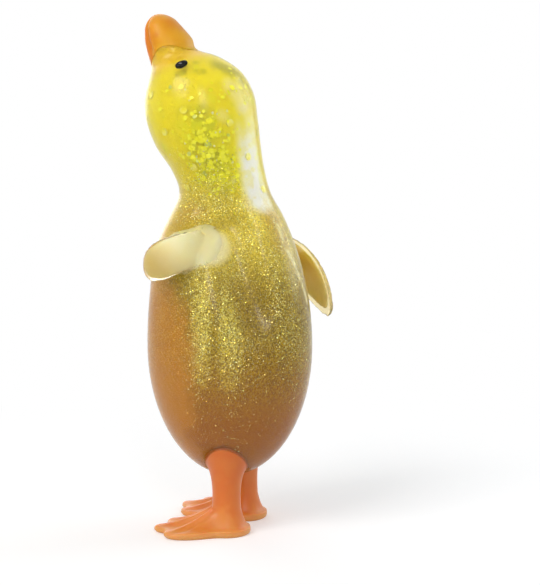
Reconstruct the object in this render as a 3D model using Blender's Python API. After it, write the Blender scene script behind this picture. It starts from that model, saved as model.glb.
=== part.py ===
# A see-through rubber squeeze duck, filled with glitter gel and squeezed so that its head swells.
# It stands upright on two webbed feet, faces -Y, and has its left side at +X. All sizes are in metres.
import math

import bmesh
import bpy
import numpy as np
from mathutils import Matrix, Vector
from mathutils.bvhtree import BVHTree

MM = 0.001

# Skin and the clearance that separate pieces keep
WALL = 2.2 * MM
GAP = 0.3 * MM

# Farther from the middle line than any point of the duck
OUTSIDE = 60.0 * MM

# Body and head: the widest section of the belly, and how far the round bottom hangs below it
BELLY_HEIGHT = 58.0 * MM
BOTTOM_DEPTH = 41.5 * MM
BELLY_HALF_WIDTH = 24.0 * MM
BELLY_BREAST_Y = -25.9 * MM
BELLY_BACK_Y = 26.6 * MM

# Sections above the belly: breast side (y, z), back side (y, z) and half width
SHOULDER = ((-24.9, 75.6), (25.0, 75.6), 23.0)
WING_LINE = ((-22.9, 89.7), (21.3, 89.7), 19.8)
LOW_NECK = ((-18.7, 99.1), (17.2, 99.7), 15.8)
NECK = ((-15.4, 106.3), (13.4, 106.3), 13.8)
HIGH_NECK = ((-17.5, 113.1), (11.4, 113.1), 14.2)
THROAT = ((-22.7, 120.9), (10.0, 120.9), 16.4)
CHEEK = ((-25.9, 129.4), (9.0, 129.4), 17.4)
TEMPLE = ((-26.3, 135.6), (7.4, 138.1), 16.8)
CROWN = ((-25.0, 141.2), (2.4, 145.3), 14.4)
BROW = ((-24.4, 143.8), (-4.4, 149.2), 11.2)
BEAK_BASE = ((-24.4, 145.6), (-10.2, 150.9), 8.0)
BEAK_LOW = ((-25.6, 149.7), (-11.9, 154.3), 7.5)
BEAK_MIDDLE = ((-26.4, 153.4), (-14.5, 157.3), 7.0)
BEAK_END = ((-26.5, 156.6), (-16.8, 159.7), 6.1)
BEAK_TIP_LENGTH = 3.8 * MM

# Where skin and beak meet: the line rises towards the tip on both cheeks
CHEEK_RISE = 4.3 * MM
CHEEK_RISE_REACH = 9.0 * MM
MOUTH_ANGLE = 128.0
MOUTH_SPREAD = 9.0
MOUTH_DEPTH = 0.7 * MM

# The beak's root lies under the skin, joined through a round hole
ROOT_DEPTH = 5.2 * MM
ROOT_NECK_RADIUS = 3.2 * MM

# Squeeze marks on the left side: a long hollow down the flank and the fold above the wing
HOLLOW_TOP = (5.5 * MM, 93.0 * MM)
HOLLOW_END = (18.0 * MM, 60.0 * MM)
HOLLOW_HALF_WIDTH = 6.8 * MM
HOLLOW_DEPTH = 6.5 * MM
FOLD_START = (-21.0 * MM, 93.0 * MM)
FOLD_END = (0.0 * MM, 97.0 * MM)
FOLD_HALF_WIDTH = 2.2 * MM
FOLD_DEPTH = 1.8 * MM

# Eyes, placed by where they show in the side view
EYE_Y = -11.5 * MM
EYE_Z = 146.8 * MM
EYE_HALF_LENGTH = 2.0 * MM
EYE_HALF_HEIGHT = 1.3 * MM
EYE_SUNK = 0.9 * MM
EYE_PROUD = 0.7 * MM

# Wings: where each root sits in the side view, then two bends and the tip measured from the root,
# outwards, backwards and up
LEFT_WING_ROOT = (-4.5, 90.6)
LEFT_WING = ((10.5, -1.5, 1.0), (12.0, -10.5, -2.2), (6.5, -16.2, -7.4))
RIGHT_WING_ROOT = (8.0, 85.5)
RIGHT_WING = ((10.5, 2.0, 2.5), (12.0, 12.0, -5.0), (4.5, 20.5, -20.0))
WING_ROOT_DEPTH = 4.5 * MM
WING_HALF_WIDTH = 6.4 * MM
WING_ROOT_HALF_WIDTH = 7.2 * MM
WING_HALF_THICKNESS = 1.7 * MM
WING_TIP_HALF_THICKNESS = 1.1 * MM

# Legs and webbed feet
ANKLE_X = 10.0 * MM
ANKLE_Y = 2.0 * MM
FOOT_SPLAY = 13.0
TOE_LENGTH = 23.0 * MM
SIDE_TOE_LENGTH = 20.5 * MM
TOE_SPREAD = 24.0
WEB_DIP = 2.6 * MM
HEEL_RADIUS = 7.6 * MM
WEB_THICKNESS = 2.2 * MM
TOE_RIDGE = 1.0 * MM
ANKLE_RADIUS = 4.6 * MM
LEG_TOP_RADIUS = 5.4 * MM
INSTEP_HEIGHT = 8.0 * MM
LEG_OVERLAP = 13.0 * MM

# Fill hole and its plug
HOLE_RADIUS = 2.6 * MM
FLANGE_RADIUS = 4.2 * MM
FLANGE_THICKNESS = 1.0 * MM

# Large flakes between the gel and the skin
FLAKE_COUNT = 24
FLAKE_RADIUS = 1.25 * MM
FLAKE_THICKNESS = 0.3 * MM
FLAKES_LOW = 107.0 * MM
FLAKES_HIGH = 139.0 * MM
GOLDEN_TURN = 137.508

# Mesh fineness
RING_POINTS = 36
BOTTOM_SEGMENTS = 9
BODY_SEGMENTS = 27
BEAK_SEGMENTS = 6
BEAK_TIP_SEGMENTS = 4
FOOT_POINTS = 36
WING_POINTS = 14
WING_SEGMENTS = 12
TURNED_POINTS = 24

BASE_ROUND = math.pi / 2


BELLY = (
    (BELLY_BREAST_Y / MM, BELLY_HEIGHT / MM),
    (BELLY_BACK_Y / MM, BELLY_HEIGHT / MM),
    BELLY_HALF_WIDTH / MM,
)
BODY_SECTIONS = (
    BELLY, SHOULDER, WING_LINE, LOW_NECK, NECK, HIGH_NECK, THROAT,
    CHEEK, TEMPLE, CROWN, BROW, BEAK_BASE,
)
BEAK_SECTIONS = (BEAK_LOW, BEAK_MIDDLE, BEAK_END)


class Spine:
    # The smooth run of sections from the belly to the end of the beak, measured along its middle.
    def __init__(self, sections):
        rows = [[*breast, *back, half] for breast, back, half in sections]
        self.values = np.array(rows) * MM
        middles = (self.values[:, 0:2] + self.values[:, 2:4]) / 2
        steps = np.linalg.norm(np.diff(middles, axis=0), axis=1)
        self.knots = np.concatenate([[0.0], np.cumsum(steps)])
        slopes = np.gradient(self.values, self.knots, axis=0)
        slopes[0] = (0, 1, 0, 1, 0)
        self.slopes = slopes

    def at(self, t):
        # Cubic Hermite between the two nearest sections
        t = min(max(t, 0.0), self.knots[-1])
        i = min(int(np.searchsorted(self.knots, t, side="right")) - 1, len(self.knots) - 2)
        span = self.knots[i + 1] - self.knots[i]
        s = (t - self.knots[i]) / span
        a = 2 * s**3 - 3 * s**2 + 1
        b = s**3 - 2 * s**2 + s
        return (
            a * self.values[i]
            + b * span * self.slopes[i]
            + (1 - a) * self.values[i + 1]
            + (s**3 - s**2) * span * self.slopes[i + 1]
        )


SPINE = Spine(BODY_SECTIONS + BEAK_SECTIONS)
BASE_T = float(SPINE.knots[len(BODY_SECTIONS) - 1])
END_T = float(SPINE.knots[-1])


def section_at(t):
    # Breast y and z, back y and z, and half width, rounded off below the belly and past the beak's end
    if t < 0:
        values, slope, reach, depth = SPINE.values[0], SPINE.slopes[0], t, BOTTOM_DEPTH
    elif t > END_T:
        values, slope, reach, depth = SPINE.values[-1], SPINE.slopes[-1], t - END_T, BEAK_TIP_LENGTH
    else:
        values, slope, reach, depth = SPINE.at(t), 0.0, 0.0, 1.0
    values = values + slope * reach
    size = math.sqrt(max(0.0, 1 - (reach / depth) ** 2))
    middle = (values[0:2] + values[2:4]) / 2
    return middle, (values[2:4] - values[0:2]) / 2 * size, values[4] * size


def along_line(y, z, start, end):
    # Share of the way from start to end, and distance from that line, in the side view
    line = np.subtract(end, start)
    away = np.subtract((y, z), start)
    share = float(np.dot(away, line) / np.dot(line, line))
    off = float(away[0] * line[1] - away[1] * line[0]) / float(np.linalg.norm(line))
    return share, off


def bump(x):
    return math.exp(-x * x)


def squeeze_depth(y, z):
    # How far the left side is pressed in at this point of the side view
    share, off = along_line(y, z, HOLLOW_TOP, HOLLOW_END)
    beyond = max(0.0, -share, share - 0.55)
    hollow = HOLLOW_DEPTH * bump(off / HOLLOW_HALF_WIDTH) * bump(beyond / 0.34)
    share, off = along_line(y, z, FOLD_START, FOLD_END)
    beyond = max(0.0, -share, share - 1)
    fold = FOLD_DEPTH * bump(off / FOLD_HALF_WIDTH) * bump(beyond / 0.25)
    return hollow + fold


def skin_point(t, angle):
    # angle 0 is the back, 90 degrees the left side, 180 the breast
    middle, half, width = section_at(t)
    across, along = math.sin(angle), math.cos(angle)
    y, z = middle + half * along
    x = width * across
    if across > 0 and t < BASE_T:
        x -= squeeze_depth(y, z) * across
    if t > BASE_T:
        for side in (-1, 1):
            turn = math.degrees(angle) - 180 - side * (180 - MOUTH_ANGLE)
            groove = MOUTH_DEPTH * bump(turn / MOUTH_SPREAD) * min(1.0, (t - BASE_T) / CHEEK_RISE)
            shrink = 1 - groove / max(width, MM)
            x *= shrink
            y, z = middle + (np.array((y, z)) - middle) * shrink
    return Vector((x, y, z))


def cheek_rise(t, angle):
    # Sections lean towards the tip on both cheeks near the line where skin and beak meet
    near = max(0.0, 1 - abs(t - BASE_T) / CHEEK_RISE_REACH)
    return CHEEK_RISE * near * near * (3 - 2 * near) * math.sin(angle) ** 2


def ring_at(t, count=RING_POINTS):
    turns = [2 * math.pi * k / count for k in range(count)]
    return [skin_point(t + cheek_rise(t, a), a) for a in turns]


def mesh_of_rings(name, rings, start, end):
    # A closed surface through the rings, with a fan to a middle point at both ends
    mesh = bmesh.new()
    loops = [[mesh.verts.new(p) for p in ring] for ring in rings]
    count = len(rings[0])
    for low, high in zip(loops, loops[1:]):
        for k in range(count):
            n = (k + 1) % count
            mesh.faces.new((low[k], low[n], high[n], high[k]))
    first, last = mesh.verts.new(start), mesh.verts.new(end)
    for k in range(count):
        n = (k + 1) % count
        mesh.faces.new((loops[0][n], loops[0][k], first))
        mesh.faces.new((loops[-1][k], loops[-1][n], last))
    bmesh.ops.recalc_face_normals(mesh, faces=mesh.faces)
    data = bpy.data.meshes.new(name)
    mesh.to_mesh(data)
    mesh.free()
    return data


def middle_of(t):
    middle, _, _ = section_at(t)
    return Vector((0.0, *middle))


def body_mesh(name, inset):
    # Body and head up to the beak, moved inwards by inset
    rings = [ring_at(-BOTTOM_DEPTH * math.cos(BASE_ROUND * k / BOTTOM_SEGMENTS)) for k in range(1, BOTTOM_SEGMENTS)]
    rings += [ring_at(BASE_T * k / BODY_SEGMENTS) for k in range(BODY_SEGMENTS + 1)]
    data = mesh_of_rings(name, rings, middle_of(-BOTTOM_DEPTH), middle_of(BASE_T))
    moved = [v.co - v.normal * inset for v in data.vertices]
    for vertex, place in zip(data.vertices, moved):
        vertex.co = place
    return data


def beak_mesh(name):
    reach = END_T - BASE_T
    rings = [ring_at(BASE_T + reach * k / BEAK_SEGMENTS) for k in range(BEAK_SEGMENTS)]
    rings += [
        ring_at(END_T + BEAK_TIP_LENGTH * math.sin(BASE_ROUND * k / BEAK_TIP_SEGMENTS))
        for k in range(BEAK_TIP_SEGMENTS)
    ]
    lift = beak_axis() * GAP
    rings[0] = [p + lift for p in rings[0]]
    return mesh_of_rings(name, rings, middle_of(BASE_T) + lift, middle_of(END_T + BEAK_TIP_LENGTH))


def beak_axis():
    return (middle_of(END_T) - middle_of(BASE_T)).normalized()


def place(name, data, matrix=None):
    thing = bpy.data.objects.new(name, data)
    bpy.context.scene.collection.objects.link(thing)
    if matrix is not None:
        thing.matrix_world = matrix
    return thing


def guide(thing):
    # A cutter or a shape to join, which isn't a piece of the duck
    thing.hide_render = True
    thing.display_type = "WIRE"
    return thing


def combine(thing, other, operation):
    step = thing.modifiers.new(operation.lower() + "_" + other.name, "BOOLEAN")
    step.operation = operation
    step.solver = "EXACT"
    step.object = other
    return guide(other)


def turned(name, outline, points, matrix):
    # A round solid about its own Z, from (radius, height) pairs that start and end on the axis
    turns = [2 * math.pi * k / points for k in range(points)]
    rings = [[Vector((r * math.cos(a), r * math.sin(a), z)) for a in turns] for r, z in outline[1:-1]]
    start, end = Vector((0, 0, outline[0][1])), Vector((0, 0, outline[-1][1]))
    return place(name, mesh_of_rings(name, rings, start, end), matrix)


def facing(point, direction, upward=Vector((0, 0, 1))):
    # A frame at point with Z along direction and X square to upward
    z = direction.normalized()
    x = upward.cross(z).normalized()
    return Matrix.Translation(point) @ Matrix((x, z.cross(x), z)).transposed().to_4x4()


def material(name, colour, roughness, see_through=0.0):
    made = bpy.data.materials.new(name)
    made.use_nodes = True
    shader = made.node_tree.nodes["Principled BSDF"]
    shader.inputs["Base Color"].default_value = (*colour, 1.0)
    shader.inputs["Roughness"].default_value = roughness
    shader.inputs["Metallic"].default_value = 0.0
    shader.inputs["Transmission Weight"].default_value = see_through
    made.diffuse_color = (*colour, 1.0)
    return made


def finish_piece(thing, coat):
    thing.data.materials.clear()
    thing.data.materials.append(coat)
    thing.data.shade_smooth()
    thing.data.set_sharp_from_angle(angle=math.radians(50))
    return thing


def surface_tree(data):
    corners = [v.co for v in data.vertices]
    return BVHTree.FromPolygons(corners, [tuple(p.vertices) for p in data.polygons])


def hit_from_outside(tree, start, direction):
    point, normal, _, _ = tree.ray_cast(start, direction)
    return point, normal


def wing(name, tree, side, root, line):
    # A flat paddle along a curve, with its width up and down and round edges
    start = Vector((side * OUTSIDE, root[0] * MM, root[1] * MM))
    point, _ = hit_from_outside(tree, start, Vector((-side, 0, 0)))
    point.x -= side * WING_ROOT_DEPTH
    ends = [point] + [point + Vector((side * out, back, up)) * MM for out, back, up in line]
    rings = []
    for k in range(1, WING_SEGMENTS):
        share = math.sin(BASE_ROUND * k / WING_SEGMENTS)
        here, ahead = curve_point(ends, share), curve_point(ends, share + 0.01)
        run = (ahead - here).normalized()
        flat = run.cross(Vector((0, 0, 1))).normalized()
        up = flat.cross(run)
        spread = math.sin(math.pi * min(1.0, 0.25 + share * 0.55))
        width = WING_ROOT_HALF_WIDTH + (WING_HALF_WIDTH - WING_ROOT_HALF_WIDTH) * spread
        width *= math.sqrt(max(0.0, 1 - share**6))
        thick = WING_HALF_THICKNESS + (WING_TIP_HALF_THICKNESS - WING_HALF_THICKNESS) * share
        thick *= math.sqrt(max(0.0, 1 - share**8))
        turns = [2 * math.pi * n / WING_POINTS for n in range(WING_POINTS)]
        rings.append([here + up * width * math.cos(a) + flat * thick * math.sin(a) for a in turns])
    return place(name, mesh_of_rings(name, rings, curve_point(ends, 0.0), ends[-1]))


def curve_point(ends, share):
    a, b, c, d = ends
    rest = 1 - share
    return a * rest**3 + b * 3 * rest**2 * share + c * 3 * rest * share**2 + d * share**3


def build_skin(tree, coat):
    skin = place("body_skin", body_mesh("body_skin", 0.0))
    combine(skin, wing("left_wing_flap", tree, 1, LEFT_WING_ROOT, LEFT_WING), "UNION")
    combine(skin, wing("right_wing_flap", tree, -1, RIGHT_WING_ROOT, RIGHT_WING), "UNION")
    combine(skin, place("cavity", body_mesh("cavity", WALL)), "DIFFERENCE")
    combine(skin, fill_hole(), "DIFFERENCE")
    combine(skin, beak_hole(), "DIFFERENCE")
    return finish_piece(skin, coat)


def bottom_z():
    return BELLY_HEIGHT - BOTTOM_DEPTH


def bottom_point():
    return Vector((0.0, (BELLY_BREAST_Y + BELLY_BACK_Y) / 2, bottom_z()))


def fill_hole():
    # A through hole with a recess for the plug's flange
    below, ledge, through = -WALL, FLANGE_THICKNESS + GAP, WALL * 2
    outline = (
        (0, below), (FLANGE_RADIUS + GAP, below), (FLANGE_RADIUS + GAP, ledge),
        (HOLE_RADIUS, ledge), (HOLE_RADIUS, through), (0, through),
    )
    return turned("fill_hole", outline, TURNED_POINTS, Matrix.Translation(bottom_point()))


def build_plug(coat):
    shank = HOLE_RADIUS - GAP
    outline = (
        (0, 0), (FLANGE_RADIUS, 0), (FLANGE_RADIUS, FLANGE_THICKNESS),
        (shank, FLANGE_THICKNESS), (shank, WALL), (0, WALL),
    )
    plug = turned("fill_plug", outline, TURNED_POINTS, Matrix.Translation(bottom_point()))
    return finish_piece(plug, coat)


def root_rod(name, radius, inwards, outwards):
    # A rod on the beak's axis through the line where skin and beak meet
    matrix = facing(middle_of(BASE_T), beak_axis(), Vector((1, 0, 0)))
    outline = ((0, -inwards), (radius, -inwards), (radius, outwards), (0, outwards))
    return turned(name, outline, 20, matrix)


def beak_hole():
    return root_rod("beak_hole", ROOT_NECK_RADIUS + GAP, ROOT_DEPTH, ROOT_DEPTH)


def root_block(name, depth):
    # Everything past this depth under the beak's base, towards the tip
    side = OUTSIDE
    data = bpy.data.meshes.new(name)
    mesh = bmesh.new()
    bmesh.ops.create_cube(mesh, size=side)
    bmesh.ops.translate(mesh, verts=mesh.verts, vec=(0, 0, side / 2 - depth))
    mesh.to_mesh(data)
    mesh.free()
    return place(name, data, facing(middle_of(BASE_T), beak_axis(), Vector((1, 0, 0))))


def build_beak(coat):
    beak = place("beak", beak_mesh("beak"))
    root = place("beak_root", body_mesh("beak_root", WALL + GAP))
    combine(root, root_block("root_limit", ROOT_DEPTH), "INTERSECT")
    combine(beak, root_rod("root_neck", ROOT_NECK_RADIUS, ROOT_DEPTH - MM, 2 * MM), "UNION")
    combine(beak, root, "UNION")
    return finish_piece(beak, coat)


def eye_frame(tree, side):
    start = Vector((side * OUTSIDE, EYE_Y, EYE_Z))
    point, normal = hit_from_outside(tree, start, Vector((-side, 0, 0)))
    return facing(point, normal, beak_axis())


def oval(frame, half_length, half_height):
    return frame @ Matrix.Diagonal((half_length, half_height, 1.0, 1.0))


def build_eyes(skin, tree, coat):
    # Domed oval beads, each in a recess of the skin
    rim = 0.94
    outline = [(0, -EYE_SUNK), (rim, -EYE_SUNK), (1, -EYE_SUNK * 0.6), (1, 0)]
    outline += [(math.cos(a), EYE_PROUD * math.sin(a)) for a in (0.35, 0.7, 1.05, 1.3)]
    outline += [(0, EYE_PROUD)]
    for name, side in (("left_eye", 1), ("right_eye", -1)):
        frame = eye_frame(tree, side)
        bead = turned(name, outline, TURNED_POINTS, None)
        bead.data.transform(oval(frame, EYE_HALF_LENGTH, EYE_HALF_HEIGHT))
        finish_piece(bead, coat)
        floor, top = -EYE_SUNK - GAP, 3 * MM
        outline_of_recess = ((0, floor), (1, floor), (1, top), (0, top))
        recess = turned(name + "_recess", outline_of_recess, TURNED_POINTS, None)
        recess.data.transform(oval(frame, EYE_HALF_LENGTH + GAP, EYE_HALF_HEIGHT + GAP))
        combine(skin, recess, "DIFFERENCE")


def foot_radius(angle):
    # Outline of a webbed foot about its ankle: three toes ahead, a round heel behind
    turn = abs((math.degrees(angle) + 180) % 360 - 180)
    share = min(1.0, turn / TOE_SPREAD)
    toes = TOE_LENGTH + (SIDE_TOE_LENGTH - TOE_LENGTH) * share**2
    toes -= WEB_DIP * math.sin(math.pi * turn / TOE_SPREAD) ** 2 * (turn < TOE_SPREAD)
    past = max(0.0, turn - TOE_SPREAD)
    return HEEL_RADIUS + (toes - HEEL_RADIUS) * bump(past / 26)


def toe_ridge(angle, share):
    # Height of the toe bones on the web, from the ankle (0) to the edge (1)
    turn = math.degrees(angle)
    turn = (turn + 180) % 360 - 180
    high = max(bump((turn - toe) / 5.5) for toe in (-TOE_SPREAD, 0.0, TOE_SPREAD))
    return TOE_RIDGE * high * math.sin(math.pi * min(1.0, 0.25 + 0.75 * share))


def foot_rings():
    # From the flat sole, round the edge, over the web and up the leg
    turns = [2 * math.pi * k / FOOT_POINTS for k in range(FOOT_POINTS)]
    edge = [foot_radius(a) for a in turns]
    rings = [[(0.965 * r, 0.0) for r in edge], [(r, 0.35 * WEB_THICKNESS) for r in edge]]
    for share in (0.97, 0.8, 0.55, 0.3, 0.12, 0.0):
        ring = []
        for a, r in zip(turns, edge):
            out = ANKLE_RADIUS + (r - ANKLE_RADIUS) * share
            rise = (INSTEP_HEIGHT - WEB_THICKNESS) * (1 - share) ** 2.4
            ring.append((out, WEB_THICKNESS + rise + toe_ridge(a, share)))
        rings.append(ring)
    top = bottom_z() + LEG_OVERLAP
    for share in (0.5, 1.0):
        out = ANKLE_RADIUS + (LEG_TOP_RADIUS - ANKLE_RADIUS) * share
        rings.append([(out, INSTEP_HEIGHT + (top - INSTEP_HEIGHT) * share)] * FOOT_POINTS)
    return [
        [Vector((r * math.sin(a), -r * math.cos(a), z)) for a, (r, z) in zip(turns, ring)]
        for ring in rings
    ], top


def build_feet(coat):
    rings, top = foot_rings()
    for name, side in (("left_foot", 1), ("right_foot", -1)):
        data = mesh_of_rings(name, rings, Vector((0, 0, 0)), Vector((0, 0, top)))
        turn = Matrix.Rotation(math.radians(side * FOOT_SPLAY), 4, "Z")
        foot = place(name, data, Matrix.Translation((side * ANKLE_X, ANKLE_Y, 0)) @ turn)
        combine(foot, place(name + "_seat", body_mesh(name + "_seat", -GAP)), "DIFFERENCE")
        finish_piece(foot, coat)


def flake(name, sides, radius, low, high, frame):
    outline = ((0, low), (radius, low), (radius, high), (0, high))
    return turned(name, outline, sides, frame)


def build_gel(coat, flake_coat):
    gel = place("glitter_gel", body_mesh("glitter_gel", WALL + GAP))
    combine(gel, root_block("root_clearance", ROOT_DEPTH + GAP), "DIFFERENCE")
    tree = surface_tree(gel.data)
    sunk = FLAKE_THICKNESS + GAP
    for k in range(FLAKE_COUNT):
        height = FLAKES_LOW + (FLAKES_HIGH - FLAKES_LOW) * (k + 0.5) / FLAKE_COUNT
        turn = math.radians(GOLDEN_TURN * k)
        outwards = Vector((math.sin(turn), math.cos(turn), 0))
        middle = Vector((0, head_middle_y(height), height))
        point, normal = hit_from_outside(tree, middle + outwards * OUTSIDE, -outwards)
        sides = 6 if k % 3 else 10
        frame = facing(point, normal)
        piece = flake(f"sequin_{k + 1:02d}", sides, FLAKE_RADIUS, -FLAKE_THICKNESS, 0, frame)
        finish_piece(piece, flake_coat)
        pocket = flake(f"pocket_{k + 1:02d}", sides, FLAKE_RADIUS + GAP, -sunk, 2 * MM, frame)
        combine(gel, pocket, "DIFFERENCE")
    return finish_piece(gel, coat)


def head_middle_y(height):
    # The middle of the section at this height
    heights = [sum(point[1] for point in s[:2]) / 2 * MM for s in BODY_SECTIONS]
    middles = [sum(point[0] for point in s[:2]) / 2 * MM for s in BODY_SECTIONS]
    return float(np.interp(height, heights, middles))


def stand_on_origin():
    # Carries every piece on one empty, with the middle of the duck's footprint at the origin
    bpy.context.view_layer.update()
    graph = bpy.context.evaluated_depsgraph_get()
    pieces = [o for o in bpy.context.scene.objects if o.type == "MESH" and not o.hide_render]
    corners = []
    for piece in pieces:
        shown = piece.evaluated_get(graph)
        corners += [shown.matrix_world @ Vector(c) for c in shown.bound_box]
    low = [min(c[i] for c in corners) for i in range(2)]
    high = [max(c[i] for c in corners) for i in range(2)]
    stand = bpy.data.objects.new("stand", None)
    bpy.context.scene.collection.objects.link(stand)
    for thing in list(bpy.context.scene.objects):
        if thing is not stand:
            thing.parent = stand
    stand.location = (-(low[0] + high[0]) / 2, -(low[1] + high[1]) / 2, 0)
    bpy.context.view_layer.update()


def main():
    for thing in list(bpy.data.objects):
        bpy.data.objects.remove(thing)
    yellow = material("clear_yellow_rubber", (0.93, 0.86, 0.42), 0.22, 0.6)
    orange = material("orange_rubber", (0.92, 0.42, 0.06), 0.4)
    black = material("black_bead", (0.01, 0.01, 0.012), 0.12)
    gold = material("gold_glitter_gel", (0.68, 0.56, 0.1), 0.35)
    flakes = material("yellow_flakes", (0.95, 0.9, 0.15), 0.2)
    clear = material("clear_plug_rubber", (0.95, 0.92, 0.7), 0.3, 0.5)

    tree = surface_tree(body_mesh("outside", 0.0))
    skin = build_skin(tree, yellow)
    build_eyes(skin, tree, black)
    build_beak(orange)
    build_feet(orange)
    build_gel(gold, flakes)
    build_plug(clear)
    stand_on_origin()


main()
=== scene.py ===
import math

import bmesh
import bpy
import numpy as np
from mathutils import Matrix, Vector
from mathutils.bvhtree import BVHTree


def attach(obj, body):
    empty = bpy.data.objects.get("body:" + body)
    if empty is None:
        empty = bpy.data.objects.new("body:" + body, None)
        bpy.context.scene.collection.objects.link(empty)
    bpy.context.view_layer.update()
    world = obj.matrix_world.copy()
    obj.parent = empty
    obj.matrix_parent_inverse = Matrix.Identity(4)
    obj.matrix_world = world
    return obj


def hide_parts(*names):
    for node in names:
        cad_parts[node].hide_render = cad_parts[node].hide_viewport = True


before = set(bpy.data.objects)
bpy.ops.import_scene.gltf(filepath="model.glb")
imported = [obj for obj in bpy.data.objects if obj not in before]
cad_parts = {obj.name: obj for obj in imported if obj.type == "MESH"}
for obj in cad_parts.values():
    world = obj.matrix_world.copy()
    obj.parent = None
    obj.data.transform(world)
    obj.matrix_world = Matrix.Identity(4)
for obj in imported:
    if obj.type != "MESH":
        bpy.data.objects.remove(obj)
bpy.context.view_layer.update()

mm = 0.001

# The duck faces -Y and stands on the floor at z = 0. Its left side, at +X, is the one seen in the photo.
# Lengths are in mm unless a note says otherwise, and a (y, z) pair is a place in the side view.

duckShape = {
    # breast side (y, z), back side (y, z) and half width of each section, from the belly up
    "body": [
        (-25.9, 58.0, 26.6, 58.0, 24.0), (-24.9, 75.6, 25.0, 75.6, 23.0),
        (-22.9, 89.7, 21.3, 89.7, 19.8), (-18.7, 99.1, 17.2, 99.7, 15.8),
        (-15.4, 106.3, 13.4, 106.3, 13.8), (-17.5, 113.1, 11.4, 113.1, 14.2),
        (-22.7, 120.9, 10.0, 120.9, 16.4), (-25.9, 129.4, 9.0, 129.4, 17.4),
        (-26.3, 135.6, 7.4, 138.1, 16.8), (-25.0, 141.2, 2.4, 145.3, 14.4),
        (-24.4, 143.8, -4.4, 149.2, 11.2), (-24.4, 145.6, -10.2, 150.9, 8.0),
    ],
    "beak": [
        (-25.6, 149.7, -11.9, 154.3, 7.5), (-26.4, 153.4, -14.5, 157.3, 7.0),
        (-26.5, 156.6, -16.8, 159.7, 6.1),
    ],
    "standBack": -1.459,  # the whole duck sits this much further forward than its sections
    "bottomDepth": 41.5, "tipLength": 3.8,
    "cheekRise": 4.3, "cheekReach": 9.0,
    "mouthTurn": 128.0, "mouthSpread": 9.0, "mouthDepth": 0.7,
    "hollowTop": (5.5, 93.0), "hollowEnd": (18.0, 60.0), "hollowHalf": 6.8, "hollowDepth": 6.5,
    "foldStart": (-21.0, 93.0), "foldEnd": (0.0, 97.0), "foldHalf": 2.2, "foldDepth": 1.8,
    "creaseHalf": 0.8, "creaseDepth": 0.3,
    "hollowFull": 0.55, "hollowFade": 0.34, "foldFade": 0.25,  # as shares of their lines
}


def bump(x):
    return np.exp(-x * x)


def smoothStep(x):
    x = np.clip(x, 0, 1)
    return x * x * (3 - 2 * x)


def rise(x, middle, reach):  # from 0 to 1 around the middle
    return 1 / (1 + np.exp(-(x - middle) / reach))


class BodyLine:  # smooth run of the sections, measured along the middle of the duck
    def __init__(self, rows):
        self.values = np.array(rows, float)
        middles = (self.values[:, 0:2] + self.values[:, 2:4]) / 2
        lengths = np.linalg.norm(np.diff(middles, axis=0), axis=1)
        self.knots = np.concatenate([[0.0], np.cumsum(lengths)])
        self.slopes = np.gradient(self.values, self.knots, axis=0)
        self.slopes[0] = (0, 1, 0, 1, 0)

    def at(self, t):
        t = np.clip(t, 0.0, self.knots[-1])
        i = np.minimum(np.searchsorted(self.knots, t, side="right") - 1, len(self.knots) - 2)
        span = self.knots[i + 1] - self.knots[i]
        s = ((t - self.knots[i]) / span)[..., None]
        span = span[..., None]
        a = 2 * s**3 - 3 * s**2 + 1
        low = a * self.values[i] + (s**3 - 2 * s**2 + s) * span * self.slopes[i]
        return low + (1 - a) * self.values[i + 1] + (s**3 - s**2) * span * self.slopes[i + 1]


bodyLine = BodyLine(duckShape["body"] + duckShape["beak"])
baseT = float(bodyLine.knots[len(duckShape["body"]) - 1])  # where skin and beak meet
endT = float(bodyLine.knots[-1])


def alongLine(y, z, start, end):  # share of the way along a line in the side view, and distance from it
    line = np.subtract(end, start)
    awayY, awayZ = y - start[0], z - start[1]
    share = (awayY * line[0] + awayZ * line[1]) / float(np.dot(line, line))
    off = (awayY * line[1] - awayZ * line[0]) / float(np.linalg.norm(line))
    return share, off


def squeezeDepth(y, z):  # long hollow down the near side and the fold above its wing
    s = duckShape
    share, off = alongLine(y, z, s["hollowTop"], s["hollowEnd"])
    beyond = np.maximum(0.0, np.maximum(-share, share - s["hollowFull"]))
    hollow = s["hollowDepth"] * bump(off / s["hollowHalf"]) * bump(beyond / s["hollowFade"])
    share, off = alongLine(y, z, s["foldStart"], s["foldEnd"])
    beyond = np.maximum(0.0, np.maximum(-share, share - 1))
    fold = s["foldDepth"] * bump(off / s["foldHalf"]) + s["creaseDepth"] * bump(off / s["creaseHalf"])
    return hollow + fold * bump(beyond / s["foldFade"])


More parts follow.
